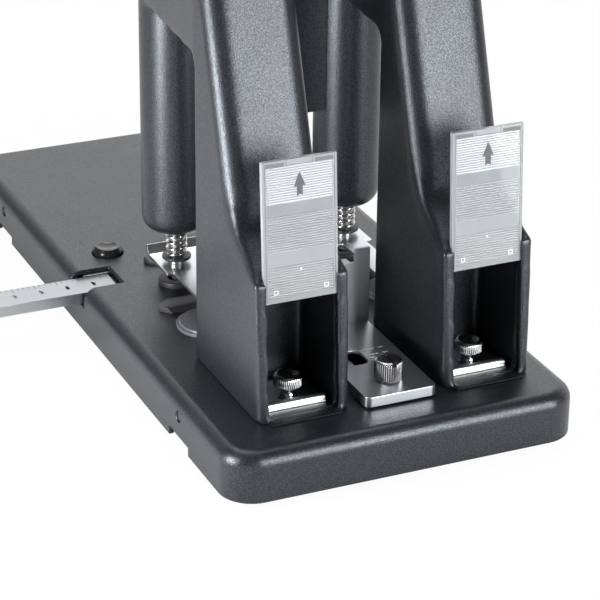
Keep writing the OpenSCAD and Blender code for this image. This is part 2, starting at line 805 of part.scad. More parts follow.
module plunger(side) {
    color(STEEL) translate([side * side_x, pin_y, deck]) difference() {
        translate([0, 0, plunger_bottom]) cylinder(d = plunger_d, h = plunger_top - plunger_bottom);
        translate([0, 0, plunger_bottom - 1]) cylinder(d = pin_d + 2 * fit, h = pin_seat + 1);
        translate([0, 0, plunger_bottom + pin_seat - 1])
            cylinder(d = pin_bore_d, h = chip_up + chip_h - plunger_bottom - pin_seat + 1);
        // side mouth through which the chips leave
        translate([-pin_bore_d / 2, 0, chip_up]) cube([pin_bore_d, plunger_d, chip_h]);
        translate([0, 0, plunger_bottom + set_screw_up]) rotate([90, 0, 0])
            cylinder(d = pin_screw_d + 2 * fit, h = plunger_d);
    }
}

module pin_screw(side) {
    color(STEEL) translate([side * side_x, pin_y, deck + plunger_bottom + set_screw_up]) rotate([90, 0, 0])
        translate([0, 0, pin_d / 2 + fit])
            cylinder(d = pin_screw_d, h = (plunger_d - pin_d) / 2 - 0.4);
}

module pin(side) {
    edge_h = 3;
    color(STEEL) translate([side * side_x, pin_y, deck + pin_tip]) difference() {
        cylinder(d = pin_d, h = plunger_bottom + pin_seat - pin_tip - fit);
        translate([0, 0, -1]) cylinder(d = pin_bore_d - 0.4, h = plunger_bottom + pin_seat - pin_tip + 2);
        translate([0, 0, -0.01]) cylinder(d1 = pin_bore_d, d2 = pin_bore_d - 0.4, h = edge_h);
    }
}

module return_spring(side) {
    color(STEEL) translate([side * side_x, pin_y, deck + spring_bottom])
        coil(coil_d, wire_d, coil_turns, spring_top - spring_bottom);
}

module spring_washers() {
    color(BLACK) for (s = SIDES) translate([s * side_x, pin_y, deck + plate_top + bush_h])
        tube(washer_d, pin_d + 6 * fit, washer_t);
}

module guide_bushes() {
    color(STEEL) for (s = SIDES) translate([s * side_x, pin_y, deck + plate_bottom])
        tube(bush_d, pin_d + 2 * fit, plate_t + bush_h);
}

// Sheet plate over the paper slot, its front lip turned up, carried by two arms from the legs
module stripper_plate() {
    lip = lip_l * cos(45);
    sag = plate_t * tan(22.5);
    front = pin_y - plate_front;
    rear = pin_y + plate_rear;
    color(SHEET) translate([0, 0, deck]) difference() {
        union() {
            across(plate_w) polygon([
                [rear, plate_bottom], [rear, plate_top],
                [front + sag, plate_top], [front - lip + plate_t * cos(45), plate_top + lip],
                [front - lip, plate_top + lip - plate_t * sin(45)], [front, plate_bottom]]);
            for (s = SIDES) translate([s * arm_x, 0, 0]) across(plate_arm_w) polygon([
                [rear - 1, plate_bottom], [rear - 1, plate_top],
                [plate_tab_y - plate_t, plate_top], [plate_tab_y - plate_t, plate_bottom + plate_tab_h],
                [plate_tab_y, plate_bottom + plate_tab_h], [plate_tab_y, plate_bottom]]);
        }
        for (s = SIDES) {
            translate([s * side_x, pin_y, 0]) cylinder(d = bush_d + 2 * fit, h = 2 * plate_top);
            translate([s * arm_x, plate_tab_y, plate_bottom + plate_screw_up]) rotate([90, 0, 0])
                cylinder(d = plate_screw_d + 2 * fit, h = 4 * plate_t, center = true);
        }
    }
}

module plate_screws() {
    head_h = 2.4;
    color(STEEL) for (s = SIDES)
        translate([s * arm_x, plate_tab_y, deck + plate_bottom + plate_screw_up]) rotate([90, 0, 0]) {
            translate([0, 0, plate_t]) cylinder(d = plate_screw_d + 3, h = head_h);
            translate([0, 0, -plate_screw_in])
                cylinder(d = plate_screw_d, h = plate_screw_in + plate_t + head_h / 2);
        }
}

// Discs that the hollow cutters press against; the ring groove takes the cutting edge
module cutting_discs() {
    post_d = pin_bore_d - 0.6;
    groove_depth = 3.6;
    color(BLACK) for (s = SIDES) translate([s * side_x, pin_y, deck]) difference() {
        union() {
            rotate_extrude()
                polygon(rounded([[0, 0, 0], [die_d / 2, 0, 0], [die_d / 2, die_h, 0.8], [0, die_h, 0]]));
            translate([0, 0, -base_wall]) cylinder(d = groove_d + 3 - 2 * fit, h = base_wall + 1);
        }
        translate([0, 0, die_h - groove_depth]) tube(groove_d, post_d, groove_depth + 1);
    }
}

// Bar whose top rises to a crest at its far long edge, with a pointed outer end
module rest_bar(l, w) {
    intersection() {
        translate([l / 2, 0, 0]) across(2 * l) polygon([[-w / 2, 0], [w / 2, 0], [w / 2, 0.6],
            [w / 2 - 1.6, die_h], [w / 2 - 4, die_h], [-w / 2, 0.8]]);
        translate([0, 0, -1]) linear_extrude(2 * die_h) polygon([[0, -w / 2], [l - 0.5 * w, -w / 2],
            [l - 0.1 * w, -0.1 * w], [l, 0.2 * w], [l - 0.3 * w, w / 2], [0, w / 2]]);
    }
}

module support_bars() {
    color(BLACK) for (m = [0, 1]) mirror([m, 0, 0]) {
        translate([bar_inner, bar_y, deck]) rest_bar(bar_outer - bar_inner, bar_w);
        translate([bar_inner, 2 * pin_y - bar_y, deck]) mirror([0, 1, 0])
            rest_bar(front_bar_outer - bar_inner, front_bar_w);
    }
}

module support_discs() {
    step = 1.2;
    color(BLACK) for (s = SIDES) translate([s * rest_x, rest_y, deck]) {
        cylinder(d = rest_d, h = die_h - 1);
        cylinder(d = rest_d - 2 * step, h = die_h);
    }
}

// Clear plate in the grooves of a bay, ribbed across, with two pips and a finger bar
module cover(side) {
    rib = 0.35;
    ribs = 9;
    color(CLEAR) translate([side * side_x, 0, deck]) in_bay_face()
        translate([0, -post_lip - slide - cover_t, cover_foot + cover_lift]) {
            translate([-cover_w / 2, 0, 0]) cube([cover_w, cover_t, cover_h]);
            for (i = [0 : ribs - 1]) translate([-bay_w / 2 + 1.5, cover_t, cover_h * 0.68 + i * 1.6])
                cube([bay_w - 3, rib, 0.8]);
            for (t = SIDES) translate([t * bay_w / 4 - 1, cover_t, 4]) cube([2, rib, 2]);
        }
}

module bay_plate(side) {
    w = bay_plate_w;
    color(SHEET) translate([side * side_x, leg_rear_y - bay_plate_rear, deck]) difference() {
        union() {
            translate([-w / 2, -bay_plate_l, 0]) cube([w, bay_plate_l, bay_plate_t]);
            translate([0, -bead_in, bay_plate_t + 0.5]) rod_x(bead_d, -w / 2, w / 2);
        }
        translate([0, bay_screw_y - leg_rear_y + bay_plate_rear, -1])
            cylinder(d = bay_screw_shank + 2 * slide, h = bay_plate_t + 2);
    }
}

// Knurled thumbscrew: fluted head with a domed crown, neck and shank
module bay_screw(side) {
    crown = 1;
    color(STEEL) translate([side * side_x, bay_screw_y, deck + bay_plate_t]) {
        translate([0, 0, bay_neck]) linear_extrude(bay_screw_h - crown) fluted(bay_screw_d, 28, 0.35);
        translate([0, 0, bay_neck + bay_screw_h - crown])
            cylinder(d1 = bay_screw_d - 1, d2 = bay_screw_d - 3, h = crown);
        cylinder(d = bay_screw_shank + 1.6, h = bay_neck + 0.5);
        cylinder(d1 = bay_foot_d, d2 = bay_screw_shank + 1.6, h = 1.8);
        translate([0, 0, -screw_tail]) cylinder(d = bay_screw_shank, h = screw_tail + 0.5);
    }
}

module hex_nut(across_flats, bore, h) {
    difference() {
        cylinder(d = across_flats / cos(30), h = h, $fn = 6);
        translate([0, 0, -1]) cylinder(d = bore, h = h + 2);
    }
}

module bay_nuts() {
    nut_h = 3.2;
    color(STEEL) for (s = SIDES) translate([s * side_x, bay_screw_y, under - nut_h])
        hex_nut(bay_nut_af, bay_screw_shank + 2 * fit, nut_h);
}

// Sheet stop: a drawn foot open below, with a window over the scale, and a notched upright
module depth_stop() {
    wall = [stop_w - 2 * stop_t, stop_l - 2 * stop_t];
    color(SHEET) translate([0, 0, deck]) difference() {
        union() {
            translate([0, (stop_front_y + stop_rear_y) / 2, stop_lift]) difference() {
                linear_extrude(stop_h - stop_lift) rounded_plan(stop_w, stop_l, stop_corner_r);
                translate([0, 0, -1]) linear_extrude(stop_h - stop_lift - stop_t + 1)
                    rounded_plan(wall[0], wall[1], stop_corner_r - stop_t);
            }
            translate([-upright_w / 2, stop_front_y, stop_lift])
                cube([upright_w, stop_t, upright_h - stop_lift]);
            translate([-stop_notch[0] / 2 + 1.5, stop_front_y - 4, upright_h - stop_notch[1] - stop_t])
                cube([stop_notch[0] - 3, 4 + stop_t, stop_t]);
        }
        translate([-stop_notch[0] / 2, stop_front_y - 1, upright_h - stop_notch[1]])
            cube([stop_notch[0], stop_t + 2, stop_notch[1] + 1]);
        translate([window_at[0], window_at[1], 0]) linear_extrude(2 * stop_h)
            rounded_plan(window[0], window[1], 3);
        translate([0, stop_screw_y, 0]) cylinder(d = stop_shank + 2 * fit, h = 2 * stop_h);
    }
}

// Tall knurled nut with a slotted top, on the stud
module stop_thumb_nut() {
    slot = [1.4, 1.6];
    color(STEEL) translate([0, stop_screw_y, deck + stop_h]) difference() {
        union() {
            translate([0, 0, 0.05]) linear_extrude(stop_screw_h - 0.8) fluted(stop_screw_d, 24, 0.45);
            translate([0, 0, stop_screw_h - 0.75])
                cylinder(d1 = stop_screw_d - 1, d2 = stop_screw_d - 2.4, h = 0.8);
        }
        translate([0, 0, -1]) cylinder(d = stop_shank + 2 * fit, h = stop_screw_h - slot[1] - 1.2 + 1);
        translate([-slot[0] / 2, -stop_screw_d, stop_screw_h - slot[1]]) cube([slot[0], 2 * stop_screw_d, 4]);
    }
}

// Stud with a square foot under the deck; it slides in the slot and carries the thumb nut
module stop_stud() {
    color(STEEL) translate([0, stop_screw_y, under - slide - stop_foot[2]]) {
        translate([-stop_foot[0] / 2, -stop_foot[1] / 2, 0]) cube(stop_foot);
        cylinder(d = stop_shank, h = stop_foot[2] + slide + base_wall + stop_h + stop_screw_h - 4);
    }
}

module margin_scale() {
    color(SHEET) translate([stop_slot_w / 2 + 0.6, stop_front_y + 12, deck])
        cube([stop_w / 2 - stop_t - slide - stop_slot_w / 2 - 0.6, stop_l - 26, scale_t]);
}

// Channel rule that slides under the deck; its outer end is turned up as a side stop for the paper
module ruler() {
    end_x = ruler_in_x + ruler_l;
    slots = 8;
    color(SHEET) translate([0, ruler_y, ruler_top - ruler_h]) difference() {
        union() {
            translate([ruler_in_x, -ruler_w / 2, ruler_h - ruler_t]) cube([ruler_l, ruler_w, ruler_t]);
            for (s = SIDES) translate([ruler_in_x, s * (ruler_w - ruler_t) / 2 - ruler_t / 2, 0])
                cube([ruler_l, ruler_t, ruler_h]);
            translate([end_x - ruler_t, -ruler_w / 2, 0]) cube([ruler_t, ruler_w, ruler_h + ruler_end_h]);
        }
        for (i = [0 : slots - 1]) translate([ruler_in_x + 9 + i * 12, 0, ruler_h - 2 * ruler_t])
            linear_extrude(4 * ruler_t) rounded_plan(1.2, 3.6, 0.55);
        translate([ruler_in_x, -ruler_w / 2, -1]) rotate(-45) cube([4, 4, 2 * ruler_h], center = true);
    }
}

// Solid rail inside the channel, which stays in the guide when the ruler is out
module ruler_rail() {
    inside = 24;
    rail_h = ruler_h - ruler_t - 0.2;
    color(STEEL) translate([ruler_in_x - rail_l, ruler_y - rail_w / 2, ruler_top - ruler_h + 0.2])
        cube([rail_l + inside, rail_w, rail_h]);
}

// Sheet trough hung under the deck that carries the ruler and its rail
module ruler_guide() {
    depth = slide + ruler_h + guide_gap;
    l = guide_out_x - guide_in_x;
    color(SHEET) translate([guide_in_x, ruler_y - guide_w / 2, under - depth - guide_wall]) difference() {
        cube([l, guide_w, depth + guide_wall]);
        translate([-1, guide_wall, guide_wall]) cube([l + 2, guide_w - 2 * guide_wall, depth + 1]);
    }
}

// Domed button with a finger hollow, a skirt under the deck and a stem inside its spring
module ruler_button() {
    r = button_d / 2;
    skirt_top = -base_wall - slide;
    color(BLACK) translate([button_x, button_y, deck]) difference() {
        union() {
            translate([0, 0, skirt_top - button_skirt]) rotate_extrude() polygon(rounded([
                [0, 0, 0], [r - 0.6, 0, 0], [r, 1.4 - skirt_top + button_skirt, 1],
                [r * 0.84, button_h - skirt_top + button_skirt, 0.6],
                [0, button_h - skirt_top + button_skirt, 0]]));
            translate([0, 0, skirt_top - button_skirt]) cylinder(r = r + 1.2, h = button_skirt);
            translate([0, 0, skirt_top - button_skirt - 4]) cylinder(d = button_stem_d, h = 5);
        }
        translate([0, 0, button_h + 14.4]) sphere(15.2);
    }
}

module button_spring() {
    top = under - slide - button_skirt - 0.05;
    bottom = under - seat_below + seat_floor + 0.05;
    color(STEEL) translate([button_x, button_y, bottom])
        coil(button_stem_d + 3.2, 0.8, 4, top - bottom);
}

// Strap under the deck that carries the button's spring
module button_seat() {
    w = button_d + 9;
    color(SHEET) translate([button_x, button_y, under - seat_below]) difference() {
        union() {
            translate([-w / 2, -5, 0]) cube([w, 10, seat_floor]);
            for (s = SIDES) translate([s * (w / 2 - seat_floor / 2) - seat_floor / 2, -5, 0])
                cube([seat_floor, 10, seat_below]);
        }
        translate([0, 0, -1]) cylinder(d = button_stem_d + 2 * slide, h = seat_floor + 2);
    }
}

base_shell();
bottom_tray();
rubber_feet();
tower(RIGHT);  // right_tower
tower(LEFT);  // left_tower
tower_screws();
bridge_bar();
bridge_dowels();
head_cap(RIGHT);  // right_head_cap
head_cap(LEFT);  // left_head_cap
shaft_bushes();
shaft_end_caps();
handle_shaft();
handle_hub();
handle_lever();
handle_grip();
hub_screw();
shaft_sleeves();
cam(RIGHT);  // right_cam
cam(LEFT);  // left_cam
plunger(RIGHT);  // right_plunger
plunger(LEFT);  // left_plunger
pin(RIGHT);  // right_pin
pin(LEFT);  // left_pin
pin_screw(RIGHT);  // right_pin_screw
pin_screw(LEFT);  // left_pin_screw
return_spring(RIGHT);  // right_spring
return_spring(LEFT);  // left_spring
spring_washers();
guide_bushes();
stripper_plate();
plate_screws();
cutting_discs();
support_bars();
support_discs();
cover(RIGHT);  // right_cover
cover(LEFT);  // left_cover
bay_plate(RIGHT);  // right_bay_plate
bay_plate(LEFT);  // left_bay_plate
bay_screw(RIGHT);  // right_bay_screw
bay_screw(LEFT);  // left_bay_screw
bay_nuts();
depth_stop();
stop_thumb_nut();
stop_stud();
margin_scale();
ruler();
ruler_rail();
ruler_guide();
ruler_button();
button_spring();
button_seat();
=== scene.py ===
"""Looks of a heavy-duty two-hole punch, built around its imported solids. Metres, front towards -Y."""

import json
import math

import bmesh
import bpy
import numpy as np
from mathutils import Matrix, Vector


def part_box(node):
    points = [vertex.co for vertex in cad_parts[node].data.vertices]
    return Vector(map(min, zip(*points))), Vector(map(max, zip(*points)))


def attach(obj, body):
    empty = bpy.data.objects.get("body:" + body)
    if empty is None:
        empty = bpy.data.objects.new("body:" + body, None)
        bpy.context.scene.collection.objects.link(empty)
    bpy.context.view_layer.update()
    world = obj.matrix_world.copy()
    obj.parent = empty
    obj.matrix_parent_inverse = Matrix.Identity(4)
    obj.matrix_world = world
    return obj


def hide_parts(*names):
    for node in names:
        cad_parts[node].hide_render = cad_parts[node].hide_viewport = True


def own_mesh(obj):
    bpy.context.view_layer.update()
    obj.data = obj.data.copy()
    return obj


bl_info = {
    "name": "Two-hole punch looks",
    "version": (1, 0, 0),
    "blender": (4, 5, 0),
    "location": "3D View > Sidebar > Punch",
    "description": "Powder coat, sheet steel, clear covers and springs on the solids of a lever punch",
    "category": "Object",
}

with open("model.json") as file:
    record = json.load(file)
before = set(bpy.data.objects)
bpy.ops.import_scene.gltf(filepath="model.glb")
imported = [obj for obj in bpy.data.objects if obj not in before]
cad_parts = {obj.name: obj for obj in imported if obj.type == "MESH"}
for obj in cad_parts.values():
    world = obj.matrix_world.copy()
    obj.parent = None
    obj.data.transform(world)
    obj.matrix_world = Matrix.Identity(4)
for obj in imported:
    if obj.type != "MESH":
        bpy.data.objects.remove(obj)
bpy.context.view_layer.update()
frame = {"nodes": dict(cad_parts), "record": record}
NODES = frame["nodes"]
BODY_OF = {node: body for body, nodes in frame["record"]["behaviour"]["bodies"].items() for node in nodes}
SLOT_OF = {row["node"]: row["material_slot"] for row in frame["record"]["subparts"]}

MM = 0.001
SIDES = {"right": 1.0, "left": -1.0}

# Sizes of the solids that their boxes don't show
SILL_OUT = 3.0 * MM
SHOULDER = 72.5 * MM
BAY_LEAN = math.radians(3.75)
GROOVE_LOW = (-15.9 * MM, -3.75 * MM, 0.95 * MM)
GROOVE_HIGH = (15.9 * MM, -1.25 * MM, 116 * MM)
COVER_FOOT = 49.2 * MM
COVER_BACK = 1.5 * MM
COVER_WIDE = 30.9 * MM
COVER_TALL = 57.0 * MM
COVER_THICK = 2.0 * MM
STOP_TOP = 5.2 * MM
STOP_UPRIGHT = 7 * MM
RULER_THICK = 1.2 * MM

# Places that the solids give
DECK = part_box("base_shell")[1].z
PIN_X = 0.5 * (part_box("right_plunger")[0].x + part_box("right_plunger")[1].x)
LEG_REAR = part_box("right_tower")[1].y - SILL_OUT


def look():
    """The colours and finishes that the panel shows."""
    return bpy.context.scene.punch_looks


def shape():
    """The sizes that the panel shows."""
    return bpy.context.scene.punch_shapes


# Settings

class PunchLooks(bpy.types.PropertyGroup):
    """Colours and finishes of the punch."""

    coat: bpy.props.FloatVectorProperty(
        name="Powder coat", description="Colour of the cast pieces", subtype="COLOR",
        default=(0.008, 0.009, 0.0115))
    coat_roughness: bpy.props.FloatProperty(
        name="Coat roughness", description="Roughness of the powder coat", subtype="FACTOR",
        default=0.34, min=0, max=1)
    grain: bpy.props.FloatProperty(
        name="Coat grain", description="Grains of the coat per metre", default=1500, min=200, max=5000)
    sheet: bpy.props.FloatVectorProperty(
        name="Sheet", description="Colour of the nickelled sheet", subtype="COLOR",
        default=(0.60, 0.625, 0.645))
    steel: bpy.props.FloatVectorProperty(
        name="Steel", description="Colour of the ground steel", subtype="COLOR",
        default=(0.55, 0.55, 0.56))
    chrome: bpy.props.FloatVectorProperty(
        name="Chrome", description="Colour of the bright screws", subtype="COLOR",
        default=(0.80, 0.80, 0.80))
    dark_steel: bpy.props.FloatVectorProperty(
        name="Dark steel", description="Colour of the stop's nut", subtype="COLOR",
        default=(0.46, 0.46, 0.47))
    plastic: bpy.props.FloatVectorProperty(
        name="Moulded black", description="Colour of the moulded pieces", subtype="COLOR",
        default=(0.022, 0.022, 0.024))
    clear: bpy.props.FloatVectorProperty(
        name="Clear cover", description="Tint of the clear covers", subtype="COLOR",
        default=(0.575, 0.61, 0.63))
    ink: bpy.props.FloatVectorProperty(
        name="Ink", description="Colour of printed marks", subtype="COLOR",
        default=(0.075, 0.078, 0.084))


class PunchShapes(bpy.types.PropertyGroup):
    """Sizes that only the looks use."""

    edge: bpy.props.FloatProperty(
        name="Casting edge", description="Radius of the softened casting edges", unit="LENGTH",
        default=0.0012)
    net: bpy.props.FloatProperty(
        name="Casting net", description="Distance of the points on the towers' skin", unit="LENGTH",
        default=0.0011)
    sheet_edge: bpy.props.FloatProperty(
        name="Sheet edge", description="Radius of the softened sheet edges", unit="LENGTH",
        default=0.00025)
    rib_pitch: bpy.props.FloatProperty(
        name="Rib pitch", description="Pitch of the ribs on the clear covers", unit="LENGTH",
        default=0.00098)
    rib_depth: bpy.props.FloatProperty(
        name="Rib depth", description="Depth of the ribs on the clear covers", unit="LENGTH",
        default=0.00022)
    coil_sides: bpy.props.IntProperty(
        name="Wire sides", description="Sides of a spring's wire", default=14, min=6, max=32)
    coil_rings: bpy.props.IntProperty(
        name="Rings per curl", description="Rings in one curl of a spring", default=32, min=12, max=96)


# Material parts

def group(name, inputs, outputs):
    """A new shader node group with named float sockets: its tree, its input end and its output end."""
    tree = bpy.data.node_groups.new(name, "ShaderNodeTree")
    for label, default in inputs:
        socket = tree.interface.new_socket(label, in_out="INPUT", socket_type="NodeSocketFloat")
        socket.default_value = default
    for label in outputs:
        tree.interface.new_socket(label, in_out="OUTPUT", socket_type="NodeSocketFloat")
    return tree, tree.nodes.new("NodeGroupInput"), tree.nodes.new("NodeGroupOutput")


def feed(tree, value, socket):
    """Gives a socket a number, or a link from another socket."""
    if isinstance(value, (int, float)):
        socket.default_value = value
    else:
        tree.links.new(value, socket)


def math_node(tree, operation, a, b, clamp=False):
    """One Math node whose inputs are sockets or numbers."""
    node = tree.nodes.new("ShaderNodeMath")
    node.operation, node.use_clamp = operation, clamp
    feed(tree, a, node.inputs[0])
    feed(tree, b, node.inputs[1])
    return node.outputs[0]


def noise(tree, vector, scale, detail=2.0, rough=0.5):
    """A noise from 0 to 1 over a place; its scale is a socket or a number."""
    node = tree.nodes.new("ShaderNodeTexNoise")
    node.inputs["Detail"].default_value = detail
    node.inputs["Roughness"].default_value = rough
    tree.links.new(vector, node.inputs["Vector"])
    feed(tree, scale, node.inputs["Scale"])
    return node.outputs["Fac"]


def object_place(tree):
    """The place on a piece, in Object coordinates."""
    return tree.nodes.new("ShaderNodeTexCoord").outputs["Object"]


def grain_group():
    """Powder grain: fine pebbles for the bump, sparse pale flecks, and a slow cloud for the roughness."""
    found = bpy.data.node_groups.get("Powder grain")
    if found:
        return found
    fleck_fineness, fleck_contrast, clouds = 1.25, 7.0, 38.0
    tree, source, sink = group(
        "Powder grain", [("Grains", 1500.0), ("Fleck share", 0.62)], ["Height", "Fleck", "Cloud"])
    place = object_place(tree)
    grains = source.outputs["Grains"]
    fine = noise(tree, place, math_node(tree, "MULTIPLY", grains, fleck_fineness), 1.5)
    spread = math_node(tree, "SUBTRACT", fine, source.outputs["Fleck share"])
    tree.links.new(noise(tree, place, grains, 3.0, 0.6), sink.inputs["Height"])
    tree.links.new(math_node(tree, "MULTIPLY", spread, fleck_contrast, True), sink.inputs["Fleck"])
    tree.links.new(noise(tree, place, clouds, 3.0), sink.inputs["Cloud"])
    return tree


def brush_group():
    """Brushed metal: noise drawn out along one axis for roughness and bump, and a slow smudge."""
    found = bpy.data.node_groups.get("Brushed lines")
    if found:
        return found
    smudges = 70.0
    tree, source, sink = group(
        "Brushed lines", [("Along X", 60.0), ("Along Y", 2600.0), ("Along Z", 2600.0)], ["Height", "Smudge"])
    place = object_place(tree)
    stretch = tree.nodes.new("ShaderNodeCombineXYZ")
    for axis in range(3):
        tree.links.new(source.outputs[axis], stretch.inputs[axis])
    drawn = tree.nodes.new("ShaderNodeVectorMath")
    drawn.operation = "MULTIPLY"
    tree.links.new(place, drawn.inputs[0])
    tree.links.new(stretch.outputs[0], drawn.inputs[1])
    tree.links.new(noise(tree, drawn.outputs[0], 1.0, 2.0), sink.inputs["Height"])
    tree.links.new(noise(tree, place, smudges, 3.0), sink.inputs["Smudge"])
    return tree


class Finish:
    """A material with one Principled shader, and short ways to fill its sockets."""

    def __init__(self, name, colour, metallic=0.0, roughness=0.5):
        self.material = bpy.data.materials.new(name)
        self.material.use_nodes = True
        self.tree = self.material.node_tree
        self.shader = self.tree.nodes["Principled BSDF"]
        self.set("Base Color", (*colour, 1.0))
        self.set("Metallic", metallic)
        self.set("Roughness", roughness)

    def set(self, socket, value):
        """A value that is the same all over the surface."""
        self.shader.inputs[socket].default_value = value

    def use(self, tree, **values):
        """Places a node group with its own values; a _ stands for a space in a socket's name."""
        node = self.tree.nodes.new("ShaderNodeGroup")
        node.node_tree = tree
        for label, value in values.items():
            node.inputs[label.replace("_", " ")].default_value = value
        return node

    def ramp(self, value, low, high, socket):
        """Carries a 0..1 value to a range of a shader input."""
        node = self.tree.nodes.new("ShaderNodeMapRange")
        node.inputs["To Min"].default_value = low
        node.inputs["To Max"].default_value = high
        self.tree.links.new(value, node.inputs["Value"])
        self.tree.links.new(node.outputs["Result"], self.shader.inputs[socket])

    def blend(self, value, first, second):
        """Base colour between two colours by a mask."""
        node = self.tree.nodes.new("ShaderNodeMix")
        node.data_type = "RGBA"
        node.inputs["A"].default_value = (*first, 1.0)
        node.inputs["B"].default_value = (*second, 1.0)
        self.tree.links.new(value, node.inputs["Factor"])
        self.tree.links.new(node.outputs["Result"], self.shader.inputs["Base Color"])

    def bump(self, height, distance, strength):
        """Grain in the normal: a 0..1 height over a distance in metres."""
        node = self.tree.nodes.new("ShaderNodeBump")
        node.inputs["Distance"].default_value = distance
        node.inputs["Strength"].default_value = strength
        self.tree.links.new(height, node.inputs["Height"])
        self.tree.links.new(node.outputs["Normal"], self.shader.inputs["Normal"])


def lighter(colour, factor, add=0.0):
    """A colour times a factor, plus a little grey, held to 1."""
    return tuple(min(1.0, c * factor + add) for c in colour)


def coat_finish():
    """Black powder coat: pebbled and satin, with pale flecks, and glints that share out its shine."""
    looks = look()
    mean, spread = looks.coat_roughness, 0.04
    surface = Finish("powder_coat", looks.coat, 0.0, mean)
    grain = surface.use(grain_group(), Grains=looks.grain, Fleck_share=0.50)
    surface.blend(grain.outputs["Fleck"], looks.coat, lighter(looks.coat, 1.6, 0.012))
    surface.ramp(grain.outputs["Cloud"], mean - spread, mean + spread, "Roughness")
    surface.bump(grain.outputs["Height"], 0.00016, 0.6)
    glint_fineness, dull_share, contrast = 1.35, 0.38, 4.2
    tree = surface.tree
    glint = noise(tree, object_place(tree), glint_fineness * looks.grain, 1.0)
    glint = math_node(tree, "SUBTRACT", glint, dull_share)
    glint = math_node(tree, "MULTIPLY", glint, contrast, True)
    surface.ramp(glint, 0.38, 0.76, "Specular IOR Level")
    surface.set("Specular Tint", (0.86, 0.93, 1.0, 1.0))
    return surface.material


def sheet_finish(name, along, shade=1.0, low=0.27):
    """Nickelled sheet, brushed along one axis."""
    lines_along, lines_across = 50.0, 2400.0
    tone = lighter(look().sheet, shade)
    surface = Finish(name, tone, 1.0, 0.28)
    scales = {f"Along_{axis}": (lines_along if axis == along else lines_across) for axis in "XYZ"}
    lines = surface.use(brush_group(), **scales)
    surface.blend(lines.outputs["Smudge"], lighter(tone, 0.95), lighter(tone, 1.04))
    surface.ramp(lines.outputs["Height"], low, low + 0.08, "Roughness")
    surface.bump(lines.outputs["Height"], 0.000008, 0.1)
    return surface.material


def metal_finish(name, colour, low, high, bump=0.25):
    """Turned or ground metal with faint tool marks."""
    surface = Finish(name, colour, 1.0, 0.5 * (low + high))
    lines = surface.use(brush_group(), Along_X=900.0, Along_Y=900.0, Along_Z=3200.0)
    surface.blend(lines.outputs["Smudge"], lighter(colour, 0.90), lighter(colour, 1.05))
    surface.ramp(lines.outputs["Height"], low, high, "Roughness")
    surface.bump(lines.outputs["Height"], 0.00003, bump)
    return surface.material


def plastic_finish(name, colour, low, high, grains, depth):
    """Moulded plastic or rubber with a spark-eroded grain."""
    surface = Finish(name, colour, 0.0, 0.5 * (low + high))
    grain = surface.use(grain_group(), Grains=grains, Fleck_share=0.70)
    surface.blend(grain.outputs["Cloud"], lighter(colour, 0.85), lighter(colour, 1.2))
    surface.ramp(grain.outputs["Cloud"], low, high, "Roughness")
    surface.bump(grain.outputs["Height"], depth, 0.4)
    return surface.material


def clear_finish():
    """Clear moulded plastic, a little dull from handling, and darker by a value on each point: painted shade
    in the rib grooves, and darker bands.
    """
    clear = look().clear
    surface = Finish("clear_cover", clear, 0.0, 0.16)
    surface.set("Transmission Weight", 0.55)
    surface.set("IOR", 1.49)
    grain = surface.use(grain_group(), Grains=900.0, Fleck_share=0.66)
    surface.ramp(grain.outputs["Cloud"], 0.10, 0.22, "Roughness")
    surface.bump(grain.outputs["Height"], 0.00003, 0.2)
    groove = surface.tree.nodes.new("ShaderNodeAttribute")
    groove.attribute_name = "groove_shade_and_band"
    # Painted shade: the clear colour darkens to half in the rib grooves and in the darker bands
    surface.blend(groove.outputs["Fac"], clear, lighter(clear, 0.50))
    return surface.material


def ink_finish(name, colour):
    """Printed ink, flecked where it is thin."""
    surface = Finish(name, colour, 0.0, 0.55)
    grain = surface.use(grain_group(), Grains=2200.0, Fleck_share=0.68)
    surface.blend(grain.outputs["Fleck"], colour, lighter(colour, 1.5, 0.01))
    return surface.material


FINISH_MAKERS = {
    "coat": coat_finish,
    "sheet": lambda: sheet_finish("sheet_along_x", "X"),
    "sheet_y": lambda: sheet_finish("sheet_along_y", "Y"),
    # Painted light: the upright's sheet is 1.3 times as light as the foot's
    "sheet_up": lambda: sheet_finish("sheet_upright_painted_light", "X", 1.3, 0.58),
    # Painted shade: the ruler's sheet is darker, at 0.64 of the sheet's colour
    "ruler": lambda: sheet_finish("sheet_ruler_painted_shade", "X", 0.64),
    "steel": lambda: metal_finish("ground_steel", look().steel, 0.22, 0.42),
    "chrome": lambda: metal_finish("bright_chrome", look().chrome, 0.06, 0.16, 0.1),
    "dark_steel": lambda: metal_finish("dark_steel", look().dark_steel, 0.14, 0.26),
    "wire": lambda: metal_finish("spring_wire", (0.58, 0.57, 0.56), 0.14, 0.28, 0.1),
    "bronze": lambda: metal_finish("bush_bronze", (0.60, 0.44, 0.22), 0.25, 0.42),
    "plastic": lambda: plastic_finish("moulded_black", look().plastic, 0.38, 0.52, 2400.0, 0.00008),
    "rest": lambda: plastic_finish("rest_grey", (0.11, 0.115, 0.125), 0.24, 0.34, 2400.0, 0.00004),
    "gloss": lambda: plastic_finish("button_black", (0.012, 0.012, 0.013), 0.12, 0.22, 1800.0, 0.00002),
    "rubber": lambda: plastic_finish("rubber_black", (0.020, 0.020, 0.021), 0.62, 0.78, 1300.0, 0.00015),
    "clear": clear_finish,
    "ink": lambda: ink_finish("printed_ink", look().ink),
    "scale": lambda: ink_finish("scale_white", (0.80, 0.80, 0.79)),
    "pip": lambda: ink_finish("pip_grey", (0.13, 0.135, 0.14)),
}
MADE = {}


def finish(name):
    """The material of a finish, made at its first use."""
    if name not in MADE:
        MADE[name] = FINISH_MAKERS[name]()
    return MADE[name]


# Mesh parts

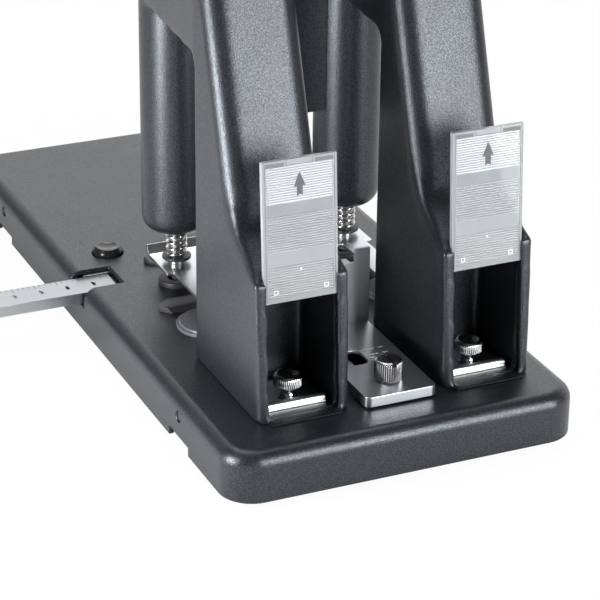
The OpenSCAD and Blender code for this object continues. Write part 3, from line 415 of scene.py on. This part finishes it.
# Limits for joined corners and edges, steps of the castings' smoothing, and how printed marks stand out
JOIN_STEP = 1e-6
TINY = 1e-9
FLAT_ANGLE = math.radians(0.6)
SOFT_ANGLE = math.radians(30)
CUT_ANGLE = math.radians(50)
ROOM_SHARE = 0.45
ROUND_STEPS = 4
BLEND_STEPS = 40
MARK_THICK = 0.04 * MM
MARK_LIFT = 0.01 * MM


def shade(mesh, smooth):
    """Shades all faces of a mesh smooth or flat."""
    mesh.polygons.foreach_set("use_smooth", np.full(len(mesh.polygons), smooth))


def new_piece(name, points, faces, material, body, replaced=(), smooth=True):
    """A mesh object at the origin that rides on a body and stands for the named solids."""
    mesh = bpy.data.meshes.new(name)
    mesh.from_pydata(np.asarray(points, float).reshape(-1, 3).tolist(), [], faces)
    mesh.validate()
    bm = bmesh.new()
    bm.from_mesh(mesh)
    bmesh.ops.recalc_face_normals(bm, faces=bm.faces)
    bm.to_mesh(mesh)
    bm.free()
    shade(mesh, smooth)
    mesh.materials.append(finish(material))
    piece = bpy.data.objects.new(name, mesh)
    bpy.context.scene.collection.objects.link(piece)
    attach(piece, body)
    if replaced:
        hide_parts(*replaced)
    return piece


def stand_in(node, suffix, points, faces, material, smooth=True):
    """A piece that takes the place of one solid, on its body."""
    body, slot = BODY_OF[node], SLOT_OF[node]
    return new_piece(f"{node}_{suffix}", points, faces, material, body, [node], smooth)


def round_size(node):
    """Radius and height of an upright round solid."""
    low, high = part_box(node)
    return 0.5 * (high.x - low.x), high.z - low.z


def foot(node):
    """Middle of the underside of a solid's box."""
    low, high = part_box(node)
    return (low.x + high.x) / 2, (low.y + high.y) / 2, low.z


def tube_faces(rows, around):
    """Faces of a tube of rows of points: quads closed round between the rows, and one face at each end."""
    r0, c0 = np.meshgrid(np.arange(rows - 1), np.arange(around), indexing="ij")
    r1, c1 = r0 + 1, (c0 + 1) % around
    quads = np.stack([r0 * around + c0, r0 * around + c1, r1 * around + c1, r1 * around + c0], -1)
    ends = [list(range(around - 1, -1, -1)), list(range((rows - 1) * around, rows * around))]
    return quads.reshape(-1, 4).tolist() + ends


def turned(profile, flutes, flute_depth, fluted_rows):
    """Surface of revolution. Row k is the circle of radius r_k at height z_k; on the fluted rows the radius
    is r_k minus flute_depth times (1 - |cos(flutes * angle / 2)|), which cuts straight knurls."""
    points_per_flute = 8
    around = points_per_flute * flutes
    angle = np.linspace(0, 2 * np.pi, around, endpoint=False)
    radius = np.repeat(profile[:, :1], around, 1)
    radius[fluted_rows] -= flute_depth * (1 - np.abs(np.cos(0.5 * flutes * angle)))
    height = np.repeat(profile[:, 1:2], around, 1)
    points = np.stack([radius * np.cos(angle), radius * np.sin(angle), height], -1)
    return points.reshape(-1, 3), tube_faces(len(profile), around)


def coil(bottom, top, mean_r, wire_r, turns):
    """Spring wire: a circle of radius wire_r carried along the helix
    (mean_r cos a, mean_r sin a, rise * a / 2 pi), set square to the helix by its radial line and the cross
    product of that line with its tangent."""
    count = int(shape().coil_rings * turns) + 1
    a = np.linspace(0, 2 * np.pi * turns, count)
    rise = (top - bottom - 2 * wire_r) / turns
    height = bottom + wire_r + rise * a / (2 * np.pi)
    centre = np.stack([mean_r * np.cos(a), mean_r * np.sin(a), height], -1)
    out = np.stack([np.cos(a), np.sin(a), np.zeros(count)], -1)
    along = np.stack([-mean_r * np.sin(a), mean_r * np.cos(a), np.full(count, rise / (2 * np.pi))], -1)
    along /= np.linalg.norm(along, axis=1, keepdims=True)
    up = np.cross(out, along)
    sides = shape().coil_sides
    t = np.linspace(0, 2 * np.pi, sides, endpoint=False)
    ring = wire_r * (np.cos(t)[None, :, None] * out[:, None] + np.sin(t)[None, :, None] * up[:, None])
    return (centre[:, None] + ring).reshape(-1, 3), tube_faces(count, sides)


def coordinates(mesh):
    """The points of a mesh as rows of three."""
    co = np.empty(len(mesh.vertices) * 3)
    mesh.vertices.foreach_get("co", co)
    return co.reshape(-1, 3)


def merged(node):
    """Points and triangles of a solid, its loose triangles joined where their corners agree to JOIN_STEP."""
    mesh = NODES[node].data
    co = coordinates(mesh)
    corners = np.empty(len(mesh.loops), int)
    mesh.loops.foreach_get("vertex_index", corners)
    places = np.round(co / JOIN_STEP).astype(np.int64)
    _, first, back = np.unique(places, axis=0, return_index=True, return_inverse=True)
    tris = back.reshape(-1)[corners].reshape(-1, 3)
    keep = (tris[:, 0] != tris[:, 1]) & (tris[:, 1] != tris[:, 2]) & (tris[:, 0] != tris[:, 2])
    return co[first], tris[keep]


def softened(node, material, edge, segments=2):
    """A copy of a solid with its flat faces joined, its sharp edges rounded and its faces shaded smooth.
    The rounding of an edge takes at most ROOM_SHARE of the room that its neighbours leave it."""
    points, tris = merged(node)
    piece = stand_in(node, "skin", points, tris.tolist(), material)
    bm = bmesh.new()
    bm.from_mesh(piece.data)
    bmesh.ops.dissolve_limit(bm, angle_limit=FLAT_ANGLE, verts=bm.verts, edges=bm.edges)
    share = bm.edges.layers.float.new("bevel_weight_edge")
    sharp = {e for e in bm.edges if len(e.link_faces) == 2 and e.calc_face_angle(0.0) > SOFT_ANGLE}
    for e in sharp:
        e[share] = min(1.0, ROOM_SHARE * room_beside(e, sharp) / edge)
    bm.to_mesh(piece.data)
    bm.free()
    shade(piece.data, True)
    bevel = piece.modifiers.new("edge", "BEVEL")
    bevel.width, bevel.segments = edge, segments
    bevel.limit_method, bevel.use_clamp_overlap = "WEIGHT", False
    weighted = piece.modifiers.new("normals", "WEIGHTED_NORMAL")
    weighted.mode, weighted.weight, weighted.keep_sharp = "FACE_AREA", 80, False
    return piece


def room_beside(e, sharp):
    """How far the faces beside an edge reach: the least of their area over its length, and of how far the
    edges at its ends lead away from it. Sharp edges that nearly carry it on don't count."""
    length = max(e.calc_length(), TINY)
    along = (e.verts[1].co - e.verts[0].co) / length
    room = min(face.calc_area() for face in e.link_faces) / length
    for vert in e.verts:
        for other in vert.link_edges:
            if other is e:
                continue
            line = other.other_vert(vert).co - vert.co
            across = (line - along * line.dot(along)).length
            if other in sharp and across < 0.5 * line.length:
                continue
            room = min(room, across)
    return room


def baked(piece):
    """Gives a piece the mesh that its modifiers make, in place of the modifiers."""
    mesh = bpy.data.meshes.new_from_object(piece.evaluated_get(bpy.context.evaluated_depsgraph_get()))
    piece.modifiers.clear()
    piece.data = mesh
    return mesh


def cast(node, material, voxel):
    """A casting's skin: a solid sampled again as an even net, then every point drawn half-way to the mean
    of its neighbours, again and again. A few such steps round all edges above the deck; many more blend
    the foot of the slope into the shoulder."""
    points, tris = merged(node)
    piece = stand_in(node, "skin", points, tris.tolist(), material)
    net = piece.modifiers.new("net", "REMESH")
    net.mode, net.voxel_size = "VOXEL", voxel
    mesh = baked(piece)
    co = coordinates(mesh)
    count = len(co)
    pairs = np.empty(len(mesh.edges) * 2, int)
    mesh.edges.foreach_get("vertices", pairs)
    a, b = pairs.reshape(-1, 2).T
    degree = np.maximum(np.bincount(a, minlength=count) + np.bincount(b, minlength=count), 1)[:, None]
    weights = [deck_share(co)[:, None]] * ROUND_STEPS + [shoulder_share(co)[:, None]] * BLEND_STEPS
    for weight in weights:
        mean = np.zeros_like(co)
        for axis in range(3):
            mean[:, axis] = np.bincount(a, co[b, axis], count) + np.bincount(b, co[a, axis], count)
        co += 0.5 * weight * (mean / degree - co)
    mesh.vertices.foreach_set("co", co.ravel())
    shade(mesh, True)
    mesh.update()
    return piece


def deck_share(co):
    """0 up to a little above the deck, where a tower has to stand flat, rising to 1."""
    flat, fade = 1.5 * MM, 4 * MM
    return np.clip((co[:, 2] - DECK - flat) / fade, 0, 1)


def shoulder_share(co):
    """1 at the foot of a tower's slope, falling to 0 above and below it, in front of the leg's rear part and
    near the leg's middle."""
    reach, depth, depth_fade, core, core_fade = 15 * MM, 44 * MM, 6 * MM, 10 * MM, 5 * MM
    up = np.clip(1 - np.abs(co[:, 2] - DECK - SHOULDER) / reach, 0, 1)
    back = np.clip((co[:, 1] - LEG_REAR + depth) / depth_fade, 0, 1)
    out = np.clip((np.abs(np.abs(co[:, 0]) - PIN_X) - core) / core_fade, 0, 1)
    return np.minimum(1, 2 * up) * back * out


def cut_box(piece, low, high, place):
    """Takes a box between two corners, set in a frame, out of a piece and leaves its edges sharp."""
    x, y, z = zip(low, high)
    corners = np.array([[u, v, w] for u in x for v in y for w in z])
    quads = [[0, 1, 3, 2], [4, 6, 7, 5], [0, 4, 5, 1], [2, 3, 7, 6], [0, 2, 6, 4], [1, 5, 7, 3]]
    cutter_mesh = bpy.data.meshes.new("cutter")
    cutter_mesh.from_pydata(carried(corners, place).tolist(), [], quads)
    cutter = bpy.data.objects.new("cutter", cutter_mesh)
    bpy.context.scene.collection.objects.link(cutter)
    cut = piece.modifiers.new("cut", "BOOLEAN")
    cut.object, cut.operation, cut.solver = cutter, "DIFFERENCE", "EXACT"
    baked(piece).set_sharp_from_angle(angle=CUT_ANGLE)
    bpy.data.objects.remove(cutter)


def bay_matrix(side):
    """Frame of a bay's leaning face: x across, y out of the face, z up along it."""
    return Matrix.Translation((side * PIN_X, LEG_REAR, DECK)) @ Matrix.Rotation(BAY_LEAN, 4, "X")


def carried(points, matrix):
    """Points set in a frame."""
    m = np.array(matrix)
    return np.asarray(points, float).reshape(-1, 3) @ m[:3, :3].T + m[:3, 3]


def flat_marks(outlines):
    """Thin flat prisms over outlines of (u, v) points; the third coordinate is the way out of the face."""
    points, faces = [], []
    for outline in outlines:
        n, k = len(points), len(outline)
        for out in (0.0, MARK_THICK):
            points += [(u, v, out) for u, v in outline]
        faces += [list(range(n, n + k))[::-1], list(range(n + k, n + 2 * k))]
        faces += [[n + i, n + (i + 1) % k, n + k + (i + 1) % k, n + k + i] for i in range(k)]
    return np.array(points, float), faces


def bar(u0, u1, v0, v1):
    """Outline of a rectangle."""
    return [(u0, v0), (u1, v0), (u1, v1), (u0, v1)]


def disc(u, v, r, n=20):
    """Outline of a circle by n points."""
    a = np.linspace(0, 2 * np.pi, n, endpoint=False)
    return list(zip(u + r * np.cos(a), v + r * np.sin(a)))


# Pieces

class PUNCH_OT_castings(bpy.types.Operator):
    """Base, towers, bridge and hub in powder coat, and the moulded caps, with softened edges"""

    bl_idname = "punch.castings"
    bl_label = "Castings"

    def execute(self, context):
        edge = shape().edge
        softened("base_shell", "coat", 0.6 * edge, 3)
        for side, sign in SIDES.items():
            skin = cast(f"{side}_tower", "coat", shape().net)
            cut_box(skin, GROOVE_LOW, GROOVE_HIGH, bay_matrix(sign))
            softened(f"{side}_head_cap", "plastic", 0.3 * edge)
        softened("bridge_bar", "coat", edge, 3)
        softened("handle_hub", "coat", edge, 3)
        softened("shaft_end_caps", "plastic", 0.3 * edge)
        return {"FINISHED"}


class PUNCH_OT_sheet_metal(bpy.types.Operator):
    """Stripper plate, depth stop, bay plates, ruler and brackets in brushed sheet, and the margin scale"""

    bl_idname = "punch.sheet_metal"
    bl_label = "Sheet metal"

    def execute(self, context):
        edge = shape().sheet_edge
        softened("stripper_plate", "sheet", edge)
        self.dull_upright_with_painted_light(softened("depth_stop", "sheet_y", edge).data)
        for node in ("right_bay_plate", "left_bay_plate"):
            softened(node, "sheet", edge)
        softened("ruler", "ruler", edge)
        for node in ("ruler_guide", "button_seat"):
            softened(node, "sheet", edge)
        softened("margin_scale", "scale", 0.2 * edge)
        return {"FINISHED"}

    def dull_upright_with_painted_light(self, mesh):
        """The stop's upright is duller than its foot, which the paper polishes, and its sheet is made
        lighter as painted light.
        """
        mesh.materials.append(finish("sheet_up"))
        centres = np.empty(len(mesh.polygons) * 3, np.float32)
        mesh.polygons.foreach_get("center", centres)
        above = centres[2::3] > DECK + STOP_UPRIGHT
        mesh.polygons.foreach_set("material_index", above.astype(np.int32))


class PUNCH_OT_turned_parts(bpy.types.Operator):
    """Shaft, sleeves, cams, plungers, cutters, bushes, hidden screws, the ruler's rail and the lever"""

    bl_idname = "punch.turned_parts"
    bl_label = "Turned parts"

    def execute(self, context):
        edge = 0.6 * shape().sheet_edge
        steel = ["handle_shaft", "shaft_sleeves", "hub_screw", "tower_screws", "bridge_dowels",
                 "plate_screws", "guide_bushes", "bay_nuts", "stop_stud", "ruler_rail"]
        for side in SIDES:
            steel += [f"{side}_{piece}" for piece in ("cam", "plunger", "pin", "pin_screw")]
        for node in steel:
            softened(node, "steel", edge)
        softened("shaft_bushes", "bronze", edge)
        softened("handle_lever", "chrome", edge)
        return {"FINISHED"}


class PUNCH_OT_thumbscrews(bpy.types.Operator):
    """Knurled bay screws and the tall slotted nut of the stop"""

    bl_idname = "punch.thumbscrews"
    bl_label = "Thumbscrews"

    def execute(self, context):
        for side in SIDES:
            self.bay_screw(f"{side}_bay_screw")
        self.stop_nut("stop_thumb_nut")
        return {"FINISHED"}

    def bay_screw(self, node):
        """Profile in millimetres from the thread up: flared foot, neck, knurled rim and dished top."""
        r, top = (size / MM for size in round_size(node))
        head, flutes, flute_depth = 5.2, 42, 0.32 * MM
        neck = top - head
        shank = [(2.0, 0), (2.0, neck - 5)]
        flare = [(4.4, neck - 4.98), (4.3, neck - 4.7), (3.5, neck - 4), (2.9, neck - 3.2),
                 (2.8, neck - 2.4), (2.8, neck - 0.3)]
        under = [(r - 0.9, neck), (r - 0.1, neck + 0.4)]
        rim = [(r, neck + 0.7), (r, top - 1.5)]
        crown = [(r - 0.2, top - 1.1), (r - 0.9, top - 0.35), (r - 1.5, top - 0.05)]
        dish = [(r - 1.9, top - 0.2), (r - 2.5, top - 0.6), (1.2, top - 0.75), (0.3, top - 0.75)]
        start = len(shank + flare + under)
        rows = np.array(shank + flare + under + rim + crown + dish)
        points, faces = turned(rows * MM, flutes, flute_depth, [start, start + 1])
        stand_in(node, "knurled", points + foot(node), faces, "chrome")

    def stop_nut(self, node):
        """Profile in millimetres from the top of the blind hole outwards and up the knurled rim; then a
        driver slot is cut across the top."""
        r, top = (size / MM for size in round_size(node))
        flutes, flute_depth = 38, 0.55 * MM
        hole = [(0.3, top - 2.9), (2.54, top - 2.9), (2.54, 0), (r - 0.8, 0)]
        rim = [(r, 0.5), (r, top - 1.0)]
        crown = [(r - 0.3, top - 0.55), (r - 1.0, top - 0.12), (r - 1.5, top - 0.05), (0.4, top)]
        rows = np.array(hole + rim + crown)
        points, faces = turned(rows * MM, flutes, flute_depth, [len(hole), len(hole) + 1])
        piece = stand_in(node, "knurled", points + foot(node), faces, "dark_steel")
        wide, long, deep = 0.7 * MM, 2 * r * MM, 1.6 * MM
        x, y, _ = foot(node)
        place = Matrix.Translation((x, y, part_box(node)[1].z))
        cut_box(piece, (-wide, -long, -deep), (wide, long, deep), place)


class PUNCH_OT_springs(bpy.types.Operator):
    """Return springs and the button's spring"""

    bl_idname = "punch.springs"
    bl_label = "Springs"

    def execute(self, context):
        for side in SIDES:
            self.spring(f"{side}_spring", f"{side}_stroke", 11, 0.65 * MM, 8 * MM)
        self.spring("button_spring", "button_press", 4, 0.4 * MM, 2 * MM)
        return {"FINISHED"}

    def spring(self, node, joint, turns, wire_r, travel):
        """A coil of so many turns; its joint and travel are not used."""
        low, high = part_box(node)
        radius, height = round_size(node)
        x, y, _ = foot(node)
        points, faces = coil(low.z, high.z, radius - wire_r, wire_r, turns)
        piece = stand_in(node, "wire", points + (x, y, 0), faces, "wire")
        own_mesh(piece)


# Fields of a cover, each from a low to a high end in millimetres above its foot, with a strength
RIB_FIELDS = ((2.2, 14.5, 0.75), (20.5, 35.0, 1.0), (40.0, 54.6, 0.55))
# Bands where the cover's colour is made darker
DARKER_BANDS = ((-1.0, 14.5, 0.18), (35.0, 40.0, 0.35))

# From the side edges of a cover, ribs begin at the margin and have their full depth a little further in
RIB_MARGIN = 1.7 * MM
RIB_FULL = 1.9 * MM


class PUNCH_OT_covers(bpy.types.Operator):
    """Clear covers with ribbed fields, pips, dark bars and an arrow"""

    bl_idname = "punch.covers"
    bl_label = "Clear covers"

    def execute(self, context):
        marks = (("arrow", self.arrow(), "ink"), ("bars", self.bars(), "pip"),
                 ("rims", self.rims(), "pip"), ("pips", self.pips(), "scale"))
        points, faces, groove_shade_and_band = self.plate()
        shift = np.array([0, -COVER_BACK - COVER_THICK, COVER_FOOT])
        lift = np.array([0, shift[1] + COVER_THICK + MARK_LIFT, shift[2]])
        for side, sign in SIDES.items():
            node = f"{side}_cover"
            place = bay_matrix(sign)
            plate = stand_in(node, "plate", carried(points + shift, place), faces, "clear", smooth=False)
            plate.data.attributes.new("groove_shade_and_band", "FLOAT", "POINT").data.foreach_set("value", groove_shade_and_band)
            for label, outlines, ink in marks:
                flat, sides = flat_marks(outlines)
                raised = np.stack([flat[:, 0], flat[:, 2], flat[:, 1]], -1) + lift
                new_piece(f"{node}_{label}", carried(raised, place), sides, ink, BODY_OF[node],
                          smooth=False)
        return {"FINISHED"}

    def bands(self, z, rows):
        """The strength of the field that a height lies in, or 0 between the fields."""
        strength_at = np.zeros(len(z))
        for low, high, strength in rows:
            strength_at[(z > low * MM) & (z < high * MM)] = strength
        return strength_at

    def plate(self):
        """The outline of the plate's section is carried across the width. In three fields of the rear face
        it is cut by ribs of depth strength * rib_depth * (1 - cos(2 pi z / rib_pitch)) / 2, which fade out
        at the plain side margins. The third result is how dark each point is made: painted shade as deep as
        its groove, plus the darkness of its band."""
        sizes = shape()
        points_per_rib = 8
        half = COVER_WIDE / 2
        z = np.arange(0, COVER_TALL + TINY, sizes.rib_pitch / points_per_rib)
        wave = 0.5 * (1 - np.cos(2 * np.pi * z / sizes.rib_pitch))
        cut = sizes.rib_depth * self.bands(z, RIB_FIELDS) * wave
        x = np.array([-half, -half + RIB_MARGIN, -half + RIB_FULL, half - RIB_FULL, half - RIB_MARGIN, half])
        fade = np.array([0, 0, 1, 1, 0, 0.0])
        face = COVER_THICK - fade[:, None] * cut[None]
        rear = np.stack(np.broadcast_arrays(x[:, None], face, z[None]), -1)
        ends = np.array([[COVER_TALL, 0.0]])
        front = np.stack(np.broadcast_arrays(x[:, None], np.zeros((1, 2)), ends), -1)
        ring = np.concatenate([rear, front], 1)
        groove_shade_and_band = np.zeros(ring.shape[:2])
        band_darkness = self.bands(z, DARKER_BANDS)
        # Painted shade as deep as each groove, plus the darkness of the bands
        groove_shade_and_band[:, :len(z)] = np.minimum(1, fade[:, None] * (cut / sizes.rib_depth + band_darkness))
        return ring.reshape(-1, 3), tube_faces(*ring.shape[:2]), groove_shade_and_band.reshape(-1)

    def arrow(self):
        """Arrow upwards with a notched tail, in the plane of the cover."""
        tip = COVER_TALL - 5.4 * MM
        side = [(2.5, -5.9), (1.15, -5.5), (1.25, -9.6)]
        right = [(u * MM, tip + v * MM) for u, v in side]
        left = [(-u, v) for u, v in reversed(right)]
        return [[(0, tip), *right, (0, tip - 8.9 * MM), *left]]

    def bars(self):
        """Two grey bars by the top edge and the outline of a finger notch between them."""
        top = COVER_TALL
        bar_out, bar_in = COVER_WIDE / 2 - 1.5 * MM, 6.4 * MM
        notch_out, notch_in = 5.65 * MM, 5.4 * MM
        outlines = []
        for sign in (-1, 1):
            outlines.append(bar(sign * bar_out, sign * bar_in, top - 2.6 * MM, top - 0.9 * MM))
            outlines.append(bar(sign * notch_in, sign * notch_out, top - 2.2 * MM, top - 0.2 * MM))
        outlines.append(bar(-notch_out, notch_out, top - 2.4 * MM, top - 2.15 * MM))
        return outlines

    def rims(self):
        """A fine line along each side margin."""
        near, far, end = COVER_WIDE / 2 - 1.2 * MM, COVER_WIDE / 2 - 0.95 * MM, 0.6 * MM
        return [bar(sign * near, sign * far, end, COVER_TALL - end) for sign in (-1, 1)]

    def pips(self):
        """A small round pip in the lower field and the outline of a square near each lower corner."""
        v, outer, inner = 4.3 * MM, 0.9 * MM, 0.6 * MM
        outlines = [disc(0, 12.6 * MM, 0.4 * MM)]
        for sign in (-1, 1):
            u = sign * (COVER_WIDE / 2 - 4.9 * MM)
            outlines.append(bar(u - outer, u - inner, v - outer, v + outer))
            outlines.append(bar(u + inner, u + outer, v - outer, v + outer))
            outlines.append(bar(u - inner, u + inner, v - outer, v - inner))
            outlines.append(bar(u - inner, u + inner, v + inner, v + outer))
        return outlines


class PUNCH_OT_marks(bpy.types.Operator):
    """Ticks on the margin scale, the depth stop and the ruler"""

    bl_idname = "punch.marks"
    bl_label = "Marks"

    def execute(self, context):
        self.put("margin_ticks", self.margin(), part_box("margin_scale")[1].z, "ink", "frame")
        self.put("stop_ticks", self.stop(), DECK + STOP_TOP, "scale", "stop")
        self.put("ruler_ticks", self.ruler(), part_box("ruler_rail")[1].z + RULER_THICK, "ink", "side_ruler")
        return {"FINISHED"}

    def margin(self):
        """Ticks every 2 mm along the scale's right edge, each fifth one longer."""
        low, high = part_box("margin_scale")
        pitch, line, gap = 2 * MM, 0.35 * MM, 0.4 * MM
        rows = np.arange(low.y + pitch, high.y - 1 * MM, pitch)
        return [bar(high.x - (4.5 if i % 5 == 0 else 2.8) * MM, high.x - gap, y, y + line)
                for i, y in enumerate(rows)]

    def stop(self):
        """Ticks every 2.4 mm on the stop's foot, short and long in turn, with a dash by each long one."""
        line = 0.6 * MM
        rows = LEG_REAR - 24 * MM - np.arange(6) * 2.4 * MM
        ticks = [bar(-0.6 * MM, (-6.4 if i % 2 else -4.0) * MM, y, y + line) for i, y in enumerate(rows)]
        return ticks + [bar(-8.0 * MM, -10.4 * MM, y, y + line) for y in rows[1::2]]

    def ruler(self):
        """Ticks every 2.5 mm along the ruler's front edge, each fourth one longer."""
        low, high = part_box("ruler")
        pitch, line, gap, end = 2.5 * MM, 0.3 * MM, 0.4 * MM, 4 * MM
        rows = np.arange(low.x + end, high.x - end, pitch)
        return [bar(x, x + line, low.y + gap, low.y + (3.4 if i % 4 == 0 else 2.0) * MM)
                for i, x in enumerate(rows)]

    def put(self, name, outlines, height, ink, body):
        """Lays marks flat at a height."""
        points, faces = flat_marks(outlines)
        new_piece(name, points + (0, 0, height + MARK_LIFT), faces, ink, body, smooth=False)


class PUNCH_OT_mouldings(bpy.types.Operator):
    """Discs, paper rests, washers, button, tray, feet and grip"""

    bl_idname = "punch.mouldings"
    bl_label = "Mouldings"

    def execute(self, context):
        edge = shape().sheet_edge
        for node in ("cutting_discs", "support_bars", "spring_washers", "bottom_tray"):
            softened(node, "plastic", edge)
        softened("support_discs", "rest", edge)
        softened("ruler_button", "gloss", edge)
        softened("rubber_feet", "rubber", edge)
        softened("handle_grip", "rubber", edge)
        return {"FINISHED"}


# Soft lamps: degrees from +X, distance and height in metres, width and height of the light, watts
LAMPS = {
    "rear_strip": (112, 1.20, 0.30, (0.55, 0.58), 15.5),
    "side_card": (22, 0.40, 0.10, (0.10, 0.18), 2.1),
    "top_box": (250, 0.60, 1.50, (1.1, 1.1), 16),
}
LAMP_AIM = Vector((0, 0.05, 0.08))

# The world's white card: its direction, the cosines to it where it is full and where it ends, the strengths
CARD_TOWARDS = (-0.60, -0.80, 0.0)
CARD_FULL, CARD_END = 0.80, 0.42
CARD_STRENGTH, ROOM_STRENGTH = 1.45, 0.08

# The floor: half its width, its grey, and its shares of plain white where it is seen and mirrored
FLOOR_HALF = 6.0
FLOOR_WHITE = 0.94
SEEN_SHARE = 0.95
MIRRORED_SHARE = 0.35

# The fitted view: the camera's place, its right and backward lines, and a long lens
CAMERA_PLACE = (0.396086, 0.930848, 0.477656)
CAMERA_RIGHT = Vector((-0.913678, 0.406282, 0.011259))
CAMERA_BACK = Vector((0.372140, 0.825118, 0.425079))
CAMERA_SENSOR, CAMERA_LENS = 36.0, 149.846
CAMERA_SHIFT = (-0.0028, 0.0008)
CAMERA_CLIP = (0.05, 50)


class PUNCH_OT_stage(bpy.types.Operator):
    """Pale floor, a white card in a dim room, soft lamps and the camera of the photograph"""

    bl_idname = "punch.stage"
    bl_label = "Stage"

    def execute(self, context):
        scene = context.scene
        scene.view_settings.view_transform = "Standard"
        self.world(scene)
        self.floor(scene)
        for name, values in LAMPS.items():
            self.lamp(scene, name, *values)
        self.camera(scene)
        return {"FINISHED"}

    def world(self, scene):
        """A studio: a white card in front of the punch and to its left, fading to a dim room all round."""
        world = bpy.data.worlds.new("studio")
        world.use_nodes = True
        scene.world = world
        tree = world.node_tree
        background = tree.nodes["Background"]
        towards = tree.nodes.new("ShaderNodeVectorMath")
        towards.operation = "DOT_PRODUCT"
        towards.inputs[1].default_value = CARD_TOWARDS
        tree.links.new(tree.nodes.new("ShaderNodeTexCoord").outputs["Generated"], towards.inputs[0])
        fade = tree.nodes.new("ShaderNodeMapRange")
        for label, value in (("From Min", CARD_FULL), ("From Max", CARD_END),
                             ("To Min", CARD_STRENGTH), ("To Max", ROOM_STRENGTH)):
            fade.inputs[label].default_value = value
        tree.links.new(towards.outputs["Value"], fade.inputs["Value"])
        tree.links.new(fade.outputs["Result"], background.inputs["Strength"])
        background.inputs["Color"].default_value = (1, 1, 1, 1)

    def floor(self, scene):
        """A wide pale floor that keeps the object's shadow and is seen as nearly plain white."""
        mesh = bpy.data.meshes.new("floor")
        corners = [(u, v, 0) for u, v in bar(-FLOOR_HALF, FLOOR_HALF, -FLOOR_HALF, FLOOR_HALF)]
        mesh.from_pydata(corners, [], [[0, 1, 2, 3]])
        floor = bpy.data.objects.new("floor", mesh)
        scene.collection.objects.link(floor)
        surface = Finish("white_floor", [FLOOR_WHITE] * 3, 0.0, 0.9)
        tree = surface.tree
        glow = tree.nodes.new("ShaderNodeEmission")
        path = tree.nodes.new("ShaderNodeLightPath").outputs
        seen = math_node(tree, "MAXIMUM", path["Is Camera Ray"], path["Is Transmission Ray"])
        seen = math_node(tree, "MULTIPLY", seen, SEEN_SHARE)
        mirrored = math_node(tree, "MULTIPLY", path["Is Glossy Ray"], MIRRORED_SHARE)
        mix = tree.nodes.new("ShaderNodeMixShader")
        tree.links.new(math_node(tree, "MAXIMUM", seen, mirrored), mix.inputs["Fac"])
        tree.links.new(surface.shader.outputs[0], mix.inputs[1])
        tree.links.new(glow.outputs[0], mix.inputs[2])
        tree.links.new(mix.outputs[0], tree.nodes["Material Output"].inputs["Surface"])
        mesh.materials.append(surface.material)

    def lamp(self, scene, name, azimuth, away, height, size, power):
        """A soft box at an azimuth in degrees from +X, a distance and a height, turned to the punch."""
        data = bpy.data.lights.new(name, "AREA")
        data.shape, data.size, data.size_y, data.energy = "RECTANGLE", *size, power
        lamp = bpy.data.objects.new(name, data)
        turn = math.radians(azimuth)
        lamp.location = (away * math.cos(turn), away * math.sin(turn), height)
        lamp.rotation_euler = (LAMP_AIM - lamp.location).to_track_quat("-Z", "Y").to_euler()
        lamp.visible_camera = False
        scene.collection.objects.link(lamp)

    def camera(self, scene):
        """The fitted view as a camera; its upward line is square to the other two."""
        data = bpy.data.cameras.new("view")
        data.sensor_width, data.lens = CAMERA_SENSOR, CAMERA_LENS
        data.shift_x, data.shift_y = CAMERA_SHIFT
        data.clip_start, data.clip_end = CAMERA_CLIP
        up = CAMERA_BACK.cross(CAMERA_RIGHT)
        turn = Matrix((CAMERA_RIGHT, up, CAMERA_BACK)).transposed().to_4x4()
        camera = bpy.data.objects.new("view", data)
        camera.matrix_world = Matrix.Translation(CAMERA_PLACE) @ turn
        scene.collection.objects.link(camera)
        scene.camera = camera


class PUNCH_PT_panel(bpy.types.Panel):
    """Shows the settings and lists the steps that dress the punch"""

    bl_label = "Two-hole punch"
    bl_idname = "PUNCH_PT_panel"
    bl_space_type = "VIEW_3D"
    bl_region_type = "UI"
    bl_category = "Punch"

    def draw(self, context):
        for settings in (context.scene.punch_looks, context.scene.punch_shapes):
            for label in settings.bl_rna.properties.keys():
                if label not in ("rna_type", "name"):
                    self.layout.prop(settings, label)
        for step in STEPS:
            self.layout.operator(step.bl_idname)


STEPS = (PUNCH_OT_castings, PUNCH_OT_sheet_metal, PUNCH_OT_turned_parts, PUNCH_OT_thumbscrews,
         PUNCH_OT_springs, PUNCH_OT_covers, PUNCH_OT_marks, PUNCH_OT_mouldings, PUNCH_OT_stage)
CLASSES = (PunchLooks, PunchShapes, *STEPS, PUNCH_PT_panel)


def register():
    for cls in CLASSES:
        bpy.utils.register_class(cls)
    bpy.types.Scene.punch_looks = bpy.props.PointerProperty(type=PunchLooks)
    bpy.types.Scene.punch_shapes = bpy.props.PointerProperty(type=PunchShapes)


def unregister():
    del bpy.types.Scene.punch_looks
    del bpy.types.Scene.punch_shapes
    for cls in reversed(CLASSES):
        bpy.utils.unregister_class(cls)


def main():
    register()
    for step in STEPS:
        area, name = step.bl_idname.split(".")
        getattr(getattr(bpy.ops, area), name)()


if __name__ == "__main__":
    main()
